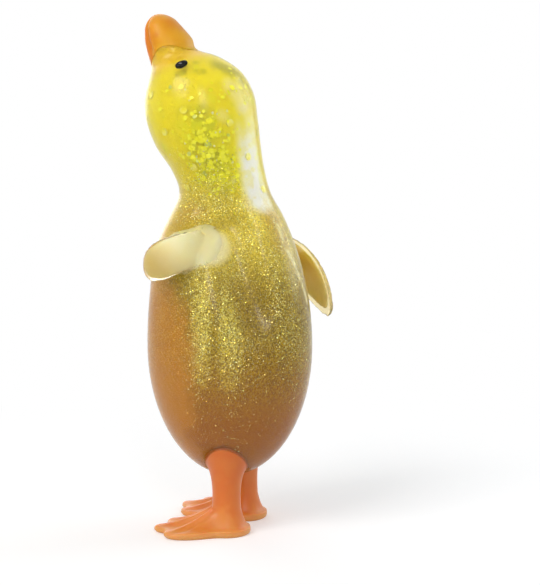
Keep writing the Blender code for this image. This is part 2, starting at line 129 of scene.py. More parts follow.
def surfaceAt(t, turn):  # outer surface; turn 0 is the back, 90 degrees the left side
    s = duckShape
    t = t + s["cheekRise"] * smoothStep(1 - np.abs(t - baseT) / s["cheekReach"]) * np.sin(turn) ** 2
    values = bodyLine.at(t)
    below, past = np.minimum(t, 0.0), np.maximum(t - endT, 0.0)
    values = values + bodyLine.slopes[0] * below[..., None] + bodyLine.slopes[-1] * past[..., None]
    size = np.sqrt(np.maximum(0.0, 1 - (below / s["bottomDepth"]) ** 2 - (past / s["tipLength"]) ** 2))
    middle = (values[..., 0:2] + values[..., 2:4]) / 2
    half = (values[..., 2:4] - values[..., 0:2]) / 2 * size[..., None]
    width = values[..., 4] * size
    across = np.sin(turn)
    yz = middle + half * np.cos(turn)[..., None]
    x = width * across - squeezeDepth(yz[..., 0], yz[..., 1]) * np.maximum(across, 0) * (t < baseT)
    above = np.clip((t - baseT) / s["cheekRise"], 0, 1)
    for side in (-1, 1):  # the mouth line
        off = np.degrees(turn) - 180 - side * (180 - s["mouthTurn"])
        shrink = 1 - s["mouthDepth"] * bump(off / s["mouthSpread"]) * above / np.maximum(width, 1.0)
        x = x * shrink
        yz = middle + (yz - middle) * shrink[..., None]
    return np.stack([x, yz[..., 0] + s["standBack"], yz[..., 1]], axis=-1)


def outward(t, turn, here, inner, stepT, stepTurn):  # unit directions that point away from the inner places
    alongT = surfaceAt(t + stepT, turn) - surfaceAt(t - stepT, turn)
    alongTurn = surfaceAt(t, turn + stepTurn) - surfaceAt(t, turn - stepTurn)
    normal = np.cross(alongTurn, alongT)
    normal /= np.maximum(np.linalg.norm(normal, axis=-1, keepdims=True), 1e-9)
    flip = np.sum(normal * (here - inner), axis=-1, keepdims=True) < 0
    return np.where(flip, -normal, normal)


def middleLine(t):  # (y, z) of the middle of the duck
    values = bodyLine.at(np.maximum(t, 0))
    return (values[:, 0] + values[:, 2]) / 2, (values[:, 1] + values[:, 3]) / 2 + np.minimum(t, 0)


def pointsAt(t, turn):  # points on the outer surface and their outward directions
    here = surfaceAt(t, turn)
    inner = np.stack([0 * t, *middleLine(t)], axis=-1)
    return here, outward(t, turn, here, inner, stepT=0.1, stepTurn=0.02)


def surfaceGrid(rows, columns, inset):  # points at a depth under the surface, row by row along the duck
    turns = np.linspace(0, 2 * math.pi, columns, endpoint=False)
    t, turn = np.meshgrid(np.array(rows, float), turns, indexing="ij")
    points = surfaceAt(t, turn)
    inner = points.mean(axis=1, keepdims=True)
    normal = outward(t, turn, points, inner, stepT=0.05, stepTurn=0.01)
    return points - normal * inset(t, turn, points)[..., None]


def meshFromRings(name, rings, start, end):  # closed surface through the rings, fanned at both ends
    rings = np.asarray(rings)
    count, columns = rings.shape[:2]
    points = np.concatenate([rings.reshape(-1, 3), [start, end]]) * mm
    faces = []
    for r in range(count - 1):
        for c in range(columns):
            n = (c + 1) % columns
            faces.append((r * columns + c, r * columns + n, (r + 1) * columns + n, (r + 1) * columns + c))
    first, last = count * columns, count * columns + 1
    for c in range(columns):
        n = (c + 1) % columns
        faces.append((n, c, first))
        faces.append(((count - 1) * columns + c, (count - 1) * columns + n, last))
    data = bpy.data.meshes.new(name)
    data.from_pydata([tuple(p) for p in points], [], faces)
    worker = bmesh.new()
    worker.from_mesh(data)
    bmesh.ops.recalc_face_normals(worker, faces=worker.faces)
    worker.to_mesh(data)
    worker.free()
    return data


def setMaterial(data, material):
    data.materials.clear()
    data.materials.append(material)


def addObject(name, data):
    thing = bpy.data.objects.new(name, data)
    bpy.context.scene.collection.objects.link(thing)
    return thing


def addPiece(name, data, material, nodes=(), smooth=True):
    piece = addObject(name, data)
    setMaterial(data, material)
    if smooth:
        data.shade_smooth()
    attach(piece, "root")
    if nodes:
        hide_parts(*nodes)


def remeshed(data, voxel):  # one closed skin around everything in the mesh
    worker = addObject("worker", data)
    step = worker.modifiers.new("remesh", "REMESH")
    step.mode, step.voxel_size = "VOXEL", voxel * mm
    graph = bpy.context.evaluated_depsgraph_get()
    result = bpy.data.meshes.new_from_object(worker.evaluated_get(graph))
    bpy.data.objects.remove(worker)
    return result


def softened(data, rounds, weight):  # moves points towards their neighbours, by a share or a function
    count = len(data.vertices)
    points = np.empty(count * 3)
    data.vertices.foreach_get("co", points)
    points = points.reshape(-1, 3)
    edges = np.empty(len(data.edges) * 2, int)
    data.edges.foreach_get("vertices", edges)
    a, b = edges.reshape(-1, 2).T
    valence = np.bincount(a, minlength=count) + np.bincount(b, minlength=count)
    share = weight(points / mm)[:, None] if callable(weight) else weight
    for _ in range(rounds):
        total = np.zeros_like(points)
        for axis in range(3):
            total[:, axis] = np.bincount(a, points[b, axis], count) + np.bincount(b, points[a, axis], count)
        points = points + share * (total / valence[:, None] - points)
    data.vertices.foreach_set("co", points.ravel())
    data.update()
    return data


# Node helpers and shared effects

def addNode(tree, kind, inputs=None, **settings):  # an input is a socket to link or a plain value
    node = tree.nodes.new("ShaderNode" + kind)
    for key, value in settings.items():
        setattr(node, key, value)
    for key, value in (inputs or {}).items():
        if isinstance(value, bpy.types.NodeSocket):
            tree.links.new(value, node.inputs[key])
        else:
            node.inputs[key].default_value = value
    return node


def newGroup(name, inputs, outputs):
    group = bpy.data.node_groups.new(name, "ShaderNodeTree")
    for label, kind, value in inputs:
        socket = group.interface.new_socket(label, in_out="INPUT", socket_type="NodeSocket" + kind)
        socket.default_value = value
    for label, kind in outputs:
        group.interface.new_socket(label, in_out="OUTPUT", socket_type="NodeSocket" + kind)
    return group, group.nodes.new("NodeGroupInput").outputs, group.nodes.new("NodeGroupOutput").inputs


def chained(tree, operation, first, *others):
    for value in others:
        first = addNode(tree, "Math", {0: first, 1: value}, operation=operation).outputs[0]
    return first


def times(tree, *values):
    return chained(tree, "MULTIPLY", *values)


def plus(tree, *values):
    return chained(tree, "ADD", *values)


def minus(tree, *values):
    return chained(tree, "SUBTRACT", *values)


def most(tree, *values):
    return chained(tree, "MAXIMUM", *values)


def vectorMath(tree, operation, first, second=None, scale=None, output=0):
    inputs = {0: first, 1: second, "Scale": scale}
    inputs = {key: value for key, value in inputs.items() if value is not None}
    return addNode(tree, "VectorMath", inputs, operation=operation).outputs[output]


def mixColour(tree, factor, first, second):
    return addNode(tree, "Mix", {0: factor, 6: first, 7: second}, data_type="RGBA").outputs[2]


def rangeOf(tree, value, low, high, toLow=0.0, toHigh=1.0):
    inputs = {"Value": value, "From Min": low, "From Max": high, "To Min": toLow, "To Max": toHigh}
    return addNode(tree, "MapRange", inputs, interpolation_type="SMOOTHSTEP").outputs["Result"]


def lengthRange(tree, value, low, high, *to):
    return rangeOf(tree, value, low * mm, high * mm, *to)


def noiseOf(tree, place, scale, detail):
    return addNode(tree, "TexNoise", {"Vector": place, "Scale": scale, "Detail": detail}).outputs["Fac"]


def swing(tree, noise, reach):  # noise as a value around 0
    return times(tree, minus(tree, noise, 0.5), reach)


def maskNear(tree, place, start, end, full, none):  # 1 within the full reach of a line, 0 beyond the other
    start, end = ([c * mm for c in point] for point in (start, end))
    values = {"Vector": place, "Start": start, "End": end, "Full Within": full * mm, "None Beyond": none * mm}
    return addNode(tree, "Group", values, node_tree=nearLine).outputs["Mask"]


mottleShape = {"patch": (0.35, 0.65), "patchDetail": 3.0, "grainDetail": 2.0, "grainHeight": 0.12}


def makeMottle():  # soft uneven colour and a faint surface ripple of moulded rubber
    s = mottleShape
    group, into, out = newGroup("rubberMottle", [
        ("Vector", "Vector", (0, 0, 0)),
        ("Colour", "Color", (1, 1, 1, 1)), ("Second Colour", "Color", (1, 1, 1, 1)),
        ("Patch Scale", "Float", 60.0), ("Patch Share", "Float", 0.5), ("Grain Scale", "Float", 900.0),
        ("Roughness", "Float", 0.3), ("Roughness Spread", "Float", 0.05),
    ], [("Colour", "Color"), ("Roughness", "Float"), ("Height", "Float")])
    patch = noiseOf(group, into["Vector"], into["Patch Scale"], s["patchDetail"])
    grain = noiseOf(group, into["Vector"], into["Grain Scale"], s["grainDetail"])
    share = times(group, rangeOf(group, patch, *s["patch"]), into["Patch Share"])
    roughness = plus(group, into["Roughness"], swing(group, patch, into["Roughness Spread"]))
    group.links.new(mixColour(group, share, into["Colour"], into["Second Colour"]), out["Colour"])
    group.links.new(roughness, out["Roughness"])
    group.links.new(plus(group, patch, times(group, grain, s["grainHeight"])), out["Height"])
    return group


# a flake fades out between these distances from its middle; shares of green flakes and of dark ground
glitterShape = {"edge": (0.40, 0.62), "green": 0.18, "dark": 0.5, "darkness": 0.8}


def makeGlitter():  # fine flakes: each cell of the pattern is one flake, tilted and coloured by itself
    s = glitterShape
    group, into, out = newGroup("fineGlitter", [
        ("Vector", "Vector", (0, 0, 0)), ("Normal", "Vector", (0, 0, 1)),
        ("Base", "Color", (0.4, 0.3, 0.05, 1)), ("Dark", "Color", (0.2, 0.15, 0.02, 1)),
        ("Flake", "Color", (1, 0.9, 0.4, 1)), ("Green Flake", "Color", (0.5, 0.8, 0.3, 1)),
        ("Scale", "Float", 2200.0), ("Amount", "Float", 0.5), ("Tilt", "Float", 0.8),
    ], [("Colour", "Color"), ("Mask", "Float"), ("Normal", "Vector")])
    cells = addNode(group, "TexVoronoi", {"Vector": into["Vector"], "Scale": into["Scale"]})
    own = cells.outputs["Color"]
    red, green, blue = addNode(group, "SeparateColor", {"Color": own}).outputs[:3]
    picked = addNode(group, "Math", {0: red, 1: into["Amount"]}, operation="LESS_THAN").outputs[0]
    greenish = addNode(group, "Math", {0: green, 1: 1 - s["green"]}, operation="GREATER_THAN").outputs[0]
    dark = addNode(group, "Math", {0: blue, 1: s["dark"]}, operation="LESS_THAN").outputs[0]
    mask = times(group, picked, rangeOf(group, cells.outputs["Distance"], *s["edge"], 1.0, 0.0))
    ground = mixColour(group, times(group, dark, s["darkness"]), into["Base"], into["Dark"])
    flake = mixColour(group, greenish, into["Flake"], into["Green Flake"])
    lean = vectorMath(group, "SUBTRACT", own, (0.5, 0.5, 0.5))
    lean = vectorMath(group, "SCALE", lean, scale=times(group, mask, into["Tilt"]))
    normal = vectorMath(group, "NORMALIZE", vectorMath(group, "ADD", into["Normal"], lean))
    group.links.new(mixColour(group, mask, ground, flake), out["Colour"])
    group.links.new(mask, out["Mask"])
    group.links.new(normal, out["Normal"])
    return group


def makeNearLine():  # 1 close to a straight line between two points, fading to 0
    group, into, out = newGroup("nearLine", [
        ("Vector", "Vector", (0, 0, 0)), ("Start", "Vector", (0, 0, 0)), ("End", "Vector", (0, 0, 1)),
        ("Full Within", "Float", 0.005), ("None Beyond", "Float", 0.01),
    ], [("Mask", "Float")])
    away = vectorMath(group, "SUBTRACT", into["Vector"], into["Start"])
    run = vectorMath(group, "SUBTRACT", into["End"], into["Start"])
    along = vectorMath(group, "DOT_PRODUCT", away, run, output="Value")
    whole = vectorMath(group, "DOT_PRODUCT", run, run, output="Value")
    share = addNode(group, "Clamp", {"Value": chained(group, "DIVIDE", along, whole)}).outputs[0]
    foot = vectorMath(group, "SCALE", run, scale=share)
    off = vectorMath(group, "DISTANCE", away, foot, output="Value")
    group.links.new(rangeOf(group, off, into["Full Within"], into["None Beyond"], 1.0, 0.0), out["Mask"])
    return group


mottle = makeMottle()
fineGlitter = makeGlitter()
nearLine = makeNearLine()


def mottled(tree, place, first, second, grain):  # patch scale and share, grain scale, roughness, its spread
    names = ("Patch Scale", "Patch Share", "Grain Scale", "Roughness", "Roughness Spread")
    values = {"Vector": place, "Colour": first, "Second Colour": second, **dict(zip(names, grain))}
    return addNode(tree, "Group", values, node_tree=mottle)


def newMaterial(name, colour):
    material = bpy.data.materials.new(name)
    material.use_nodes = True
    material.diffuse_color = (*colour[:3], 1.0)
    tree = material.node_tree
    place = addNode(tree, "TexCoord").outputs["Object"]
    y, z = addNode(tree, "SeparateXYZ", {"Vector": place}).outputs[1:3]
    return material, tree, tree.nodes["Principled BSDF"], place, y, z


def setShader(shader, **values):
    for key, value in values.items():
        shader.inputs[key.replace("_", " ")].default_value = value


def setScatter(shader, weight, depth, radius, specular):  # light inside soft rubber, and its shine
    setShader(shader, Subsurface_Weight=weight, Subsurface_Scale=depth * mm, Subsurface_Radius=radius)
    setShader(shader, Specular_IOR_Level=specular)


def dressShader(tree, shader, soft, colour, ripple=0.0, strength=0.6):
    tree.links.new(colour, shader.inputs["Base Color"])
    tree.links.new(soft.outputs["Roughness"], shader.inputs["Roughness"])
    if ripple:
        wave = {"Height": soft.outputs["Height"], "Distance": ripple * mm, "Strength": strength}
        tree.links.new(addNode(tree, "Bump", wave).outputs[0], shader.inputs["Normal"])


# Clear skin

skinLook = {
    "colour": (0.96, 0.91, 0.50, 1), "second": (0.97, 0.93, 0.60, 1), "headColour": (0.96, 0.92, 0.44, 1),
    "nearWing": (0.98, 0.94, 0.75, 1), "farWing": (0.92, 0.80, 0.48, 1), "clearHighlightPatch": (0.99, 0.99, 0.95, 1),
    "grain": (45.0, 1.0, 700.0, 0.225, 0.05), "clear": 0.985, "bend": 1.37, "ripple": 0.2,
    "head": (102.0, 118.0),  # heights between which the head's colour comes in
    # start, end, full reach and outer reach of the parts with a colour of their own; along the nape the skin
    # is painted near-white, part of a painted highlight
    "leftBlade": ((23.5, -9.0, 90.5), (23.5, -21.0, 85.5), 5.0, 8.5),
    "rightBlade": ((-25.0, 11.0, 84.0), (-22.5, 25.0, 70.0), 5.0, 8.5),
    "shoulder": ((20.0, -12.0, 90.0), (17.0, -3.0, 92.0), 4.5, 8.0),
    "nape": ((7.0, 6.2, 130.0), (6.2, 10.8, 103.0), 3.4, 6.6),
}


def makeSkinMaterial():
    look = skinLook
    material, tree, shader, place, y, z = newMaterial("clearYellowSkin", look["colour"])
    soft = mottled(tree, place, look["colour"], look["second"], look["grain"])
    left, shoulder, right, nape = (
        maskNear(tree, place, *look[part]) for part in ("leftBlade", "shoulder", "rightBlade", "nape"))
    colour = mixColour(tree, lengthRange(tree, z, *look["head"]), soft.outputs["Colour"], look["headColour"])
    colour = mixColour(tree, most(tree, left, shoulder), colour, look["nearWing"])
    # painted highlight: the skin turns near-white along the nape, so the painted highlight in the gel under
    # it shows white
    colour = mixColour(tree, nape, colour, look["clearHighlightPatch"])
    colour = mixColour(tree, right, colour, look["farWing"])
    dressShader(tree, shader, soft, colour, look["ripple"])
    setShader(shader, Transmission_Weight=look["clear"], IOR=look["bend"], Metallic=0.0)
    return material


skinShape = {
    "voxel": 0.62, "rows": 150, "bottomRows": 46, "columns": 150, "bottomEnd": (0, 0, -0.02),
    "edge": 0.1, "tuck": 0.9, "tuckDepth": 0.8,  # the edge stops short of the beak, then slips inside it
    # root (y, z), then two bends and the tip from the root: outwards, backwards, up
    "leftRoot": (-4.5, 90.6), "leftWing": ((10.5, -1.5, 1.0), (12.0, -10.5, -2.2), (6.5, -16.2, -7.4)),
    "rightRoot": (8.0, 85.5), "rightWing": ((10.5, 2.0, 2.5), (12.0, 12.0, -5.0), (4.5, 20.5, -20.0)),
    "rootDepth": 4.5, "wingHalf": 6.4, "wingRootHalf": 7.2, "wingThick": 1.7, "wingTipThick": 1.1,
    "wingRows": 44, "wingColumns": 40, "wingCup": 0.9, "tipRound": 6, "tipThinning": 8,
    "widen": (0.25, 0.55),  # where the sine of the blade's width starts, and how much of it the blade takes
    # the roots are smoothed around these places
    "fillets": ((18.5, -6.0, 91.0), (-19.5, 6.7, 86.0)), "filletReach": 6.5, "filletShare": 0.55,
    "filletRounds": 34, "softRounds": 4, "softShare": 0.5,
}


def bottomRows(count):
    depth = duckShape["bottomDepth"]
    return [-depth * math.cos(math.pi / 2 * k / count) for k in range(1, count)]


def curvePoint(ends, share):
    rest = 1 - share
    near = ends[0] * rest**3 + ends[1] * 3 * rest**2 * share
    return near + ends[2] * 3 * rest * share**2 + ends[3] * share**3


def sideHit(tree, side, y, z):  # point and direction of the surface that a ray from the side meets
    start = Vector((side * 60 * mm, (y + duckShape["standBack"]) * mm, z * mm))
    point, normal = tree.ray_cast(start, Vector((-side, 0, 0)))[:2]
    return np.array(point) / mm, normal


def makeWing(tree, side, root, line, shrink=1.0, cut=0.0):  # cut: share of the length left off at the tip
    s = skinShape
    point = sideHit(tree, side, *root)[0] - np.array([side * s["rootDepth"], 0, 0])
    ends = [point] + [point + np.array([side * out, back, up]) for out, back, up in line]
    turns = np.linspace(0, 2 * math.pi, s["wingColumns"], endpoint=False)
    rings = []
    for k in range(1, s["wingRows"]):
        reach = math.sin(math.pi / 2 * k / s["wingRows"])
        share = reach * (1 - cut)
        here, ahead = curvePoint(ends, share), curvePoint(ends, share + 0.01)
        run = (ahead - here) / np.linalg.norm(ahead - here)
        flat = np.cross(run, (0, 0, 1))
        flat /= np.linalg.norm(flat)
        up = np.cross(flat, run)
        spread = math.sin(math.pi * min(1.0, s["widen"][0] + share * s["widen"][1]))
        narrowing = math.sqrt(max(0.0, 1 - reach ** s["tipRound"]))
        width = (s["wingRootHalf"] + (s["wingHalf"] - s["wingRootHalf"]) * spread) * narrowing * shrink
        thick = s["wingThick"] + (s["wingTipThick"] - s["wingThick"]) * share
        thick *= math.sqrt(max(0.0, 1 - reach ** s["tipThinning"])) * shrink * shrink
        cup = s["wingCup"] * np.sin(turns) ** 2 * share * narrowing  # the blade is slightly cupped
        rings.append(here + np.outer(np.cos(turns) * width, up) + np.outer(np.sin(turns) * thick - cup, flat))
    return meshFromRings("wing", rings, ends[0], rings[-1].mean(axis=0))


def joinMeshes(name, parts):
    whole = bmesh.new()
    for part in parts:
        whole.from_mesh(part)
    data = bpy.data.meshes.new(name)
    whole.to_mesh(data)
    whole.free()
    return data


def rootWeight(points):
    s = skinShape
    near = [bump(np.linalg.norm(points - root, axis=1) / s["filletReach"]) for root in s["fillets"]]
    return s["filletShare"] * np.maximum(*near)


def makeSkin():  # the skin, and the plain body as a tree for rays
    s = skinShape
    rows = [*bottomRows(s["bottomRows"]), *np.linspace(0, baseT - s["edge"], s["rows"]), baseT + s["tuck"]]
    grid = surfaceGrid(rows, s["columns"], lambda t, turn, points: s["tuckDepth"] * (t > baseT))
    body = meshFromRings("bodySkin", grid, grid[0].mean(axis=0) + s["bottomEnd"], grid[-1].mean(axis=0))
    tree = BVHTree.FromPolygons([v.co for v in body.vertices], [tuple(p.vertices) for p in body.polygons])
    left = makeWing(tree, 1, s["leftRoot"], s["leftWing"])
    right = makeWing(tree, -1, s["rightRoot"], s["rightWing"])
    whole = remeshed(joinMeshes("bodySkin", (body, left, right)), s["voxel"])
    whole = softened(whole, s["softRounds"], s["softShare"])
    return softened(whole, s["filletRounds"], rootWeight), tree


skinData, outerTree = makeSkin()
addPiece("bodySkin", skinData, makeSkinMaterial(), ["body_skin"])
print("skin", len(skinData.polygons))


# Glitter gel

gelLook = {
    # head; the last of these, near white, is a painted highlight along the nape
    "lemon": (0.88, 0.75, 0.008, 1), "lemonPale": (0.92, 0.82, 0.035, 1), "amber": (0.98, 0.66, 0.03, 1),
    "olivePatch": (0.78, 0.78, 0.012, 1), "smudge": (0.48, 0.44, 0.006, 1), "napeHighlight": (1.0, 1.0, 0.97, 1),
    # body
    "gold": (0.47, 0.32, 0.012, 1), "goldHigh": (0.90, 0.76, 0.12, 1), "cream": (0.96, 0.88, 0.58, 1),
    "goldDark": (0.19, 0.12, 0.005, 1), "darkHigh": (0.56, 0.43, 0.03, 1), "umber": (0.44, 0.115, 0.004, 1),
    "tan": (0.64, 0.27, 0.022, 1), "tanHigh": (0.82, 0.58, 0.19, 1), "shade": (0.58, 0.36, 0.03, 1),
    "flake": (1.0, 0.90, 0.36, 1), "greenFlake": (0.86, 0.96, 0.60, 1),
    # heights between which a colour comes in; amber is measured along z - amberLean * y
    "head": (103.0, 113.0), "high": (72.0, 98.0), "umberFrom": (68.0, 30.0), "glitterFrom": (36.0, 64.0),
    "amberFrom": (149.5, 154.5), "amberLean": 0.40, "napeFrom": (133.0, 121.0),
    # y + marginLean * z at which the clear margin at the breast ends, with z no less than marginLow;
    # then its strength and its uneven edge
    "margin": (-3.0, 7.5), "marginLean": 0.17, "marginLow": 60.0, "marginShare": 0.78,
    "marginSway": 22.0, "marginFine": 8.0, "headSway": 12.0,
    # scale and detail of the noises
    "sway": (70.0, 3.0), "soft": (95.0, 2.0), "fine": (330.0, 3.0), "patch": (90.0, 3.0),
    "blotchScale": 190.0, "glitterScale": 2900.0, "tilt": 1.1, "grain": (75.0, 0.8, 500.0, 0.35, 0.1),
    "streakScale": (1.0, 1.0, 0.35),
    # parts of a noise's range that count, with the values that they give where these aren't 0 and 1
    "blotchRange": (0.42, 0.20), "softRange": (0.42, 0.60), "patchRange": (0.38, 0.60), "oliveShare": 0.6,
    "underRange": (0.36, 0.54, 0.25, 0.95), "glintRange": (0.40, 0.54, 0.3, 1.0),
    "napeRange": (0.38, 0.54, 0.6, 1.0), "smudgeRange": (0.36, 0.52), "smudgeLeast": 0.35,
    # how much of the surface is glitter: everywhere, in patches and in bands; then how much the bands' ground
    # is paled as a painted sheen, and the share of umber at the bottom
    "amount": 0.10, "patchAmount": 0.30, "bandAmount": 0.34, "bandSheen": 0.55, "umberShare": 0.78,
    # start, end, full reach and outer reach of marks, with a strength where there is one
    "shoulder": ((17.0, -13.0, 89.5), (15.0, -2.5, 91.5), 4.6, 7.6),
    "wing": ((21.0, -20.5, 87.0), (23.0, -8.0, 91.0), 5.5, 8.0),
    # line of the painted highlight along the nape
    "nape": ((3.2, 4.4, 128.0), (3.2, 8.8, 104.5), 2.2, 6.6),
    "cluster": ((14.0, -6.0, 128.0), (12.0, -0.5, 111.0), 2.0, 9.5),
    "smudges": [
        ((7.6, -9.6, 146.9), (6.9, -8.6, 147.0), 0.5, 1.7, 0.75),
        ((9.6, -8.4, 143.9), (9.0, -7.0, 144.0), 0.5, 1.9, 0.55),
        ((10.8, -13.9, 143.3), (10.4, -12.5, 143.5), 0.5, 1.7, 0.55),
        ((3.4, -3.6, 145.4), (-2.2, 2.6, 140.4), 0.8, 4.6, 0.8),
        ((14.4, -11.1, 132.3), (13.9, -6.2, 131.6), 0.6, 3.4, 0.4),
        ((13.4, -5.4, 134.0), (12.8, -3.6, 132.6), 0.5, 2.6, 0.35),
    ],
    "pales": [
        ((11.8, 0.3, 131.5), (11.4, 1.4, 130.5), 0.8, 3.0, 0.6),
        ((6.5, 1.2, 140.0), (4.0, 3.0, 134.0), 0.8, 4.2, 0.72),
    ],
    "shades": [
        ((10.4, -13.6, 99.0), (11.0, -8.8, 100.8), 2.0, 6.5, 0.6),
        ((4.0, 13.2, 99.0), (5.0, 16.0, 92.0), 1.5, 6.0, 0.6),
    ],
    # bands of denser glitter down the belly; their ground is also paled, a painted sheen
    "bands": [
        ((23.0, -4.2, 82.0), (23.7, -3.8, 52.0), 1.6, 5.0),
        ((20.7, 4.7, 78.0), (22.8, 5.2, 50.0), 1.6, 5.0),
    ],
    # points of a painted highlight, a thin uneven line of cream down the far flank
    "glint": ((3.4, 15.2, 96.8), (4.7, 17.1, 91.4), (1.7, 20.5, 82.9), (-1.5, 22.6, 73.0)),  # with two bends
    "glintReach": (0.3, 1.5),
    # shine of the flakes: metal share, and how much smoother than the gel they are
    "metal": 0.85, "roughness": 0.5, "smoother": 0.26, "scatter": (0.3, 3.0, (1.0, 0.85, 0.2), 0.06),
}


def markedWith(tree, place, colour, marks, paint, uneven=None):  # lays each mark over the colour
    for *line, strength in marks:
        mask = maskNear(tree, place, *line)
        if uneven is not None:
            least = gelLook["smudgeLeast"] * strength
            strength = rangeOf(tree, uneven, *gelLook["smudgeRange"], least, strength)
        colour = mixColour(tree, times(tree, mask, strength), colour, paint)
    return colour


def makeGelMaterial():
    look = gelLook
    material, tree, shader, place, y, z = newMaterial("glitterGel", look["gold"])
    sway, soft, fine = (noiseOf(tree, place, *look[noise]) for noise in ("sway", "soft", "fine"))
    height = plus(tree, z, swing(tree, sway, look["headSway"] * mm))
    head = lengthRange(tree, height, *look["head"])
    high = lengthRange(tree, z, *look["high"])

    blotch = {"Vector": place, "Scale": look["blotchScale"]}
    blotch = addNode(tree, "TexVoronoi", blotch, feature="SMOOTH_F1").outputs["Distance"]
    olive = times(tree, rangeOf(tree, blotch, *look["blotchRange"]), rangeOf(tree, soft, *look["softRange"]))
    olive = times(tree, olive, look["oliveShare"])
    under = times(tree, maskNear(tree, place, *look["cluster"]), rangeOf(tree, fine, *look["underRange"]))
    lemon = mottled(tree, place, look["lemon"], look["lemonPale"], look["grain"]).outputs["Colour"]
    headColour = mixColour(tree, most(tree, olive, under), lemon, look["olivePatch"])
    headColour = markedWith(tree, place, headColour, look["smudges"], look["smudge"], fine)
    headColour = markedWith(tree, place, headColour, look["pales"], look["cream"])
    along = minus(tree, z, times(tree, y, look["amberLean"]))
    headColour = mixColour(tree, lengthRange(tree, along, *look["amberFrom"]), headColour, look["amber"])

    streaks = addNode(tree, "Mapping", {"Vector": place, "Scale": look["streakScale"]}).outputs[0]
    patch = rangeOf(tree, noiseOf(tree, streaks, *look["patch"]), *look["patchRange"])
    band = most(tree, *(maskNear(tree, place, *line) for line in look["bands"]))
    # the ground pales higher up, and along the bands as a painted sheen
    pale = most(tree, high, times(tree, band, look["bandSheen"]))
    patches, bands = times(tree, patch, look["patchAmount"]), times(tree, band, look["bandAmount"])
    amount = plus(tree, patches, bands, look["amount"])
    glitter = addNode(tree, "Group", {
        "Vector": place, "Normal": addNode(tree, "NewGeometry").outputs["Normal"],
        "Base": mixColour(tree, pale, look["gold"], look["goldHigh"]),
        "Dark": mixColour(tree, high, look["goldDark"], look["darkHigh"]),
        "Flake": look["flake"], "Green Flake": look["greenFlake"],
        "Scale": look["glitterScale"], "Tilt": look["tilt"],
        "Amount": times(tree, lengthRange(tree, z, *look["glitterFrom"]), amount),
    }, node_tree=fineGlitter)
    # darker umber towards the bottom: partly the gel's own amber-brown, partly painted shade
    umber = times(tree, lengthRange(tree, z, *look["umberFrom"]), look["umberShare"])
    bodyColour = mixColour(tree, umber, glitter.outputs["Colour"], look["umber"])
    lean = plus(
        tree, y, times(tree, most(tree, z, look["marginLow"] * mm), look["marginLean"]),
        swing(tree, sway, look["marginSway"] * mm), swing(tree, fine, look["marginFine"] * mm))
    front = times(tree, lengthRange(tree, lean, *look["margin"], 1.0, 0.0), look["marginShare"])
    bodyColour = mixColour(tree, front, bodyColour, mixColour(tree, high, look["tan"], look["tanHigh"]))
    cream = most(tree, *(maskNear(tree, place, *look[part]) for part in ("shoulder", "wing")))
    bodyColour = mixColour(tree, cream, bodyColour, look["cream"])
    bodyColour = markedWith(tree, place, bodyColour, look["shades"], look["shade"])
    # painted highlight: a thin uneven line of cream down the far flank
    bends = zip(look["glint"], look["glint"][1:])
    glint = most(tree, *(maskNear(tree, place, *line, *look["glintReach"]) for line in bends))
    glint = times(tree, glint, rangeOf(tree, fine, *look["glintRange"]))
    bodyColour = mixColour(tree, glint, bodyColour, look["cream"])

    colour = mixColour(tree, head, bodyColour, headColour)
    # painted highlight: an uneven near-white patch along the nape, fading out higher on the head
    nape = times(
        tree, maskNear(tree, place, *look["nape"]), rangeOf(tree, fine, *look["napeRange"]),
        lengthRange(tree, height, *look["napeFrom"]))
    tree.links.new(mixColour(tree, nape, colour, look["napeHighlight"]), shader.inputs["Base Color"])
    shine = times(tree, glitter.outputs["Mask"], minus(tree, 1.0, most(tree, head, front, cream, nape)))
    roughness = minus(tree, look["roughness"], times(tree, shine, look["smoother"]))
    tree.links.new(times(tree, shine, look["metal"]), shader.inputs["Metallic"])
    tree.links.new(roughness, shader.inputs["Roughness"])
    tree.links.new(glitter.outputs["Normal"], shader.inputs["Normal"])
    setScatter(shader, *look["scatter"])
    return material


gelShape = {
    "rows": 130, "bottomRows": 36, "firstRow": 2, "columns": 120, "past": 0.3,
    "inset": 2.9, "bodyInset": 1.3, "insetFrom": 96.0, "insetRun": 12.0,  # depths and their change
    "breastInset": 0.3, "throatHeight": 107.0, "throatReach": 8.0, "topRun": 5.0, "topShare": 0.90,
}


def gelInset(t, turn, points):  # deeper under the skin at the breast and the throat, close under the beak
    s = gelShape
    z = points[..., 2]
    breast = s["breastInset"] * np.clip(-np.cos(turn), 0, 1) ** 3
    top = np.clip((t - (baseT - s["topRun"])) / s["topRun"], 0, 1)
    plain = s["bodyInset"] + (s["inset"] - s["bodyInset"]) * smoothStep((z - s["insetFrom"]) / s["insetRun"])
    throat = breast * bump((z - s["throatHeight"]) / s["throatReach"])
    return plain * (1 - s["topShare"] * top) + throat + breast * (1 - top)


def makeGel():
    s = gelShape
    rows = bottomRows(s["bottomRows"])[s["firstRow"]:] + list(np.linspace(0, baseT + s["past"], s["rows"]))
    grid = surfaceGrid(rows, s["columns"], gelInset)
    return meshFromRings("glitterGel", grid, grid[0].mean(axis=0), grid[-1].mean(axis=0))


gelData = makeGel()
addPiece("glitterGel", gelData, makeGelMaterial(), ["glitter_gel"])
print("gel", len(gelData.polygons))


# Milky rubber inside both wings, and in the shoulder that the near one grows from

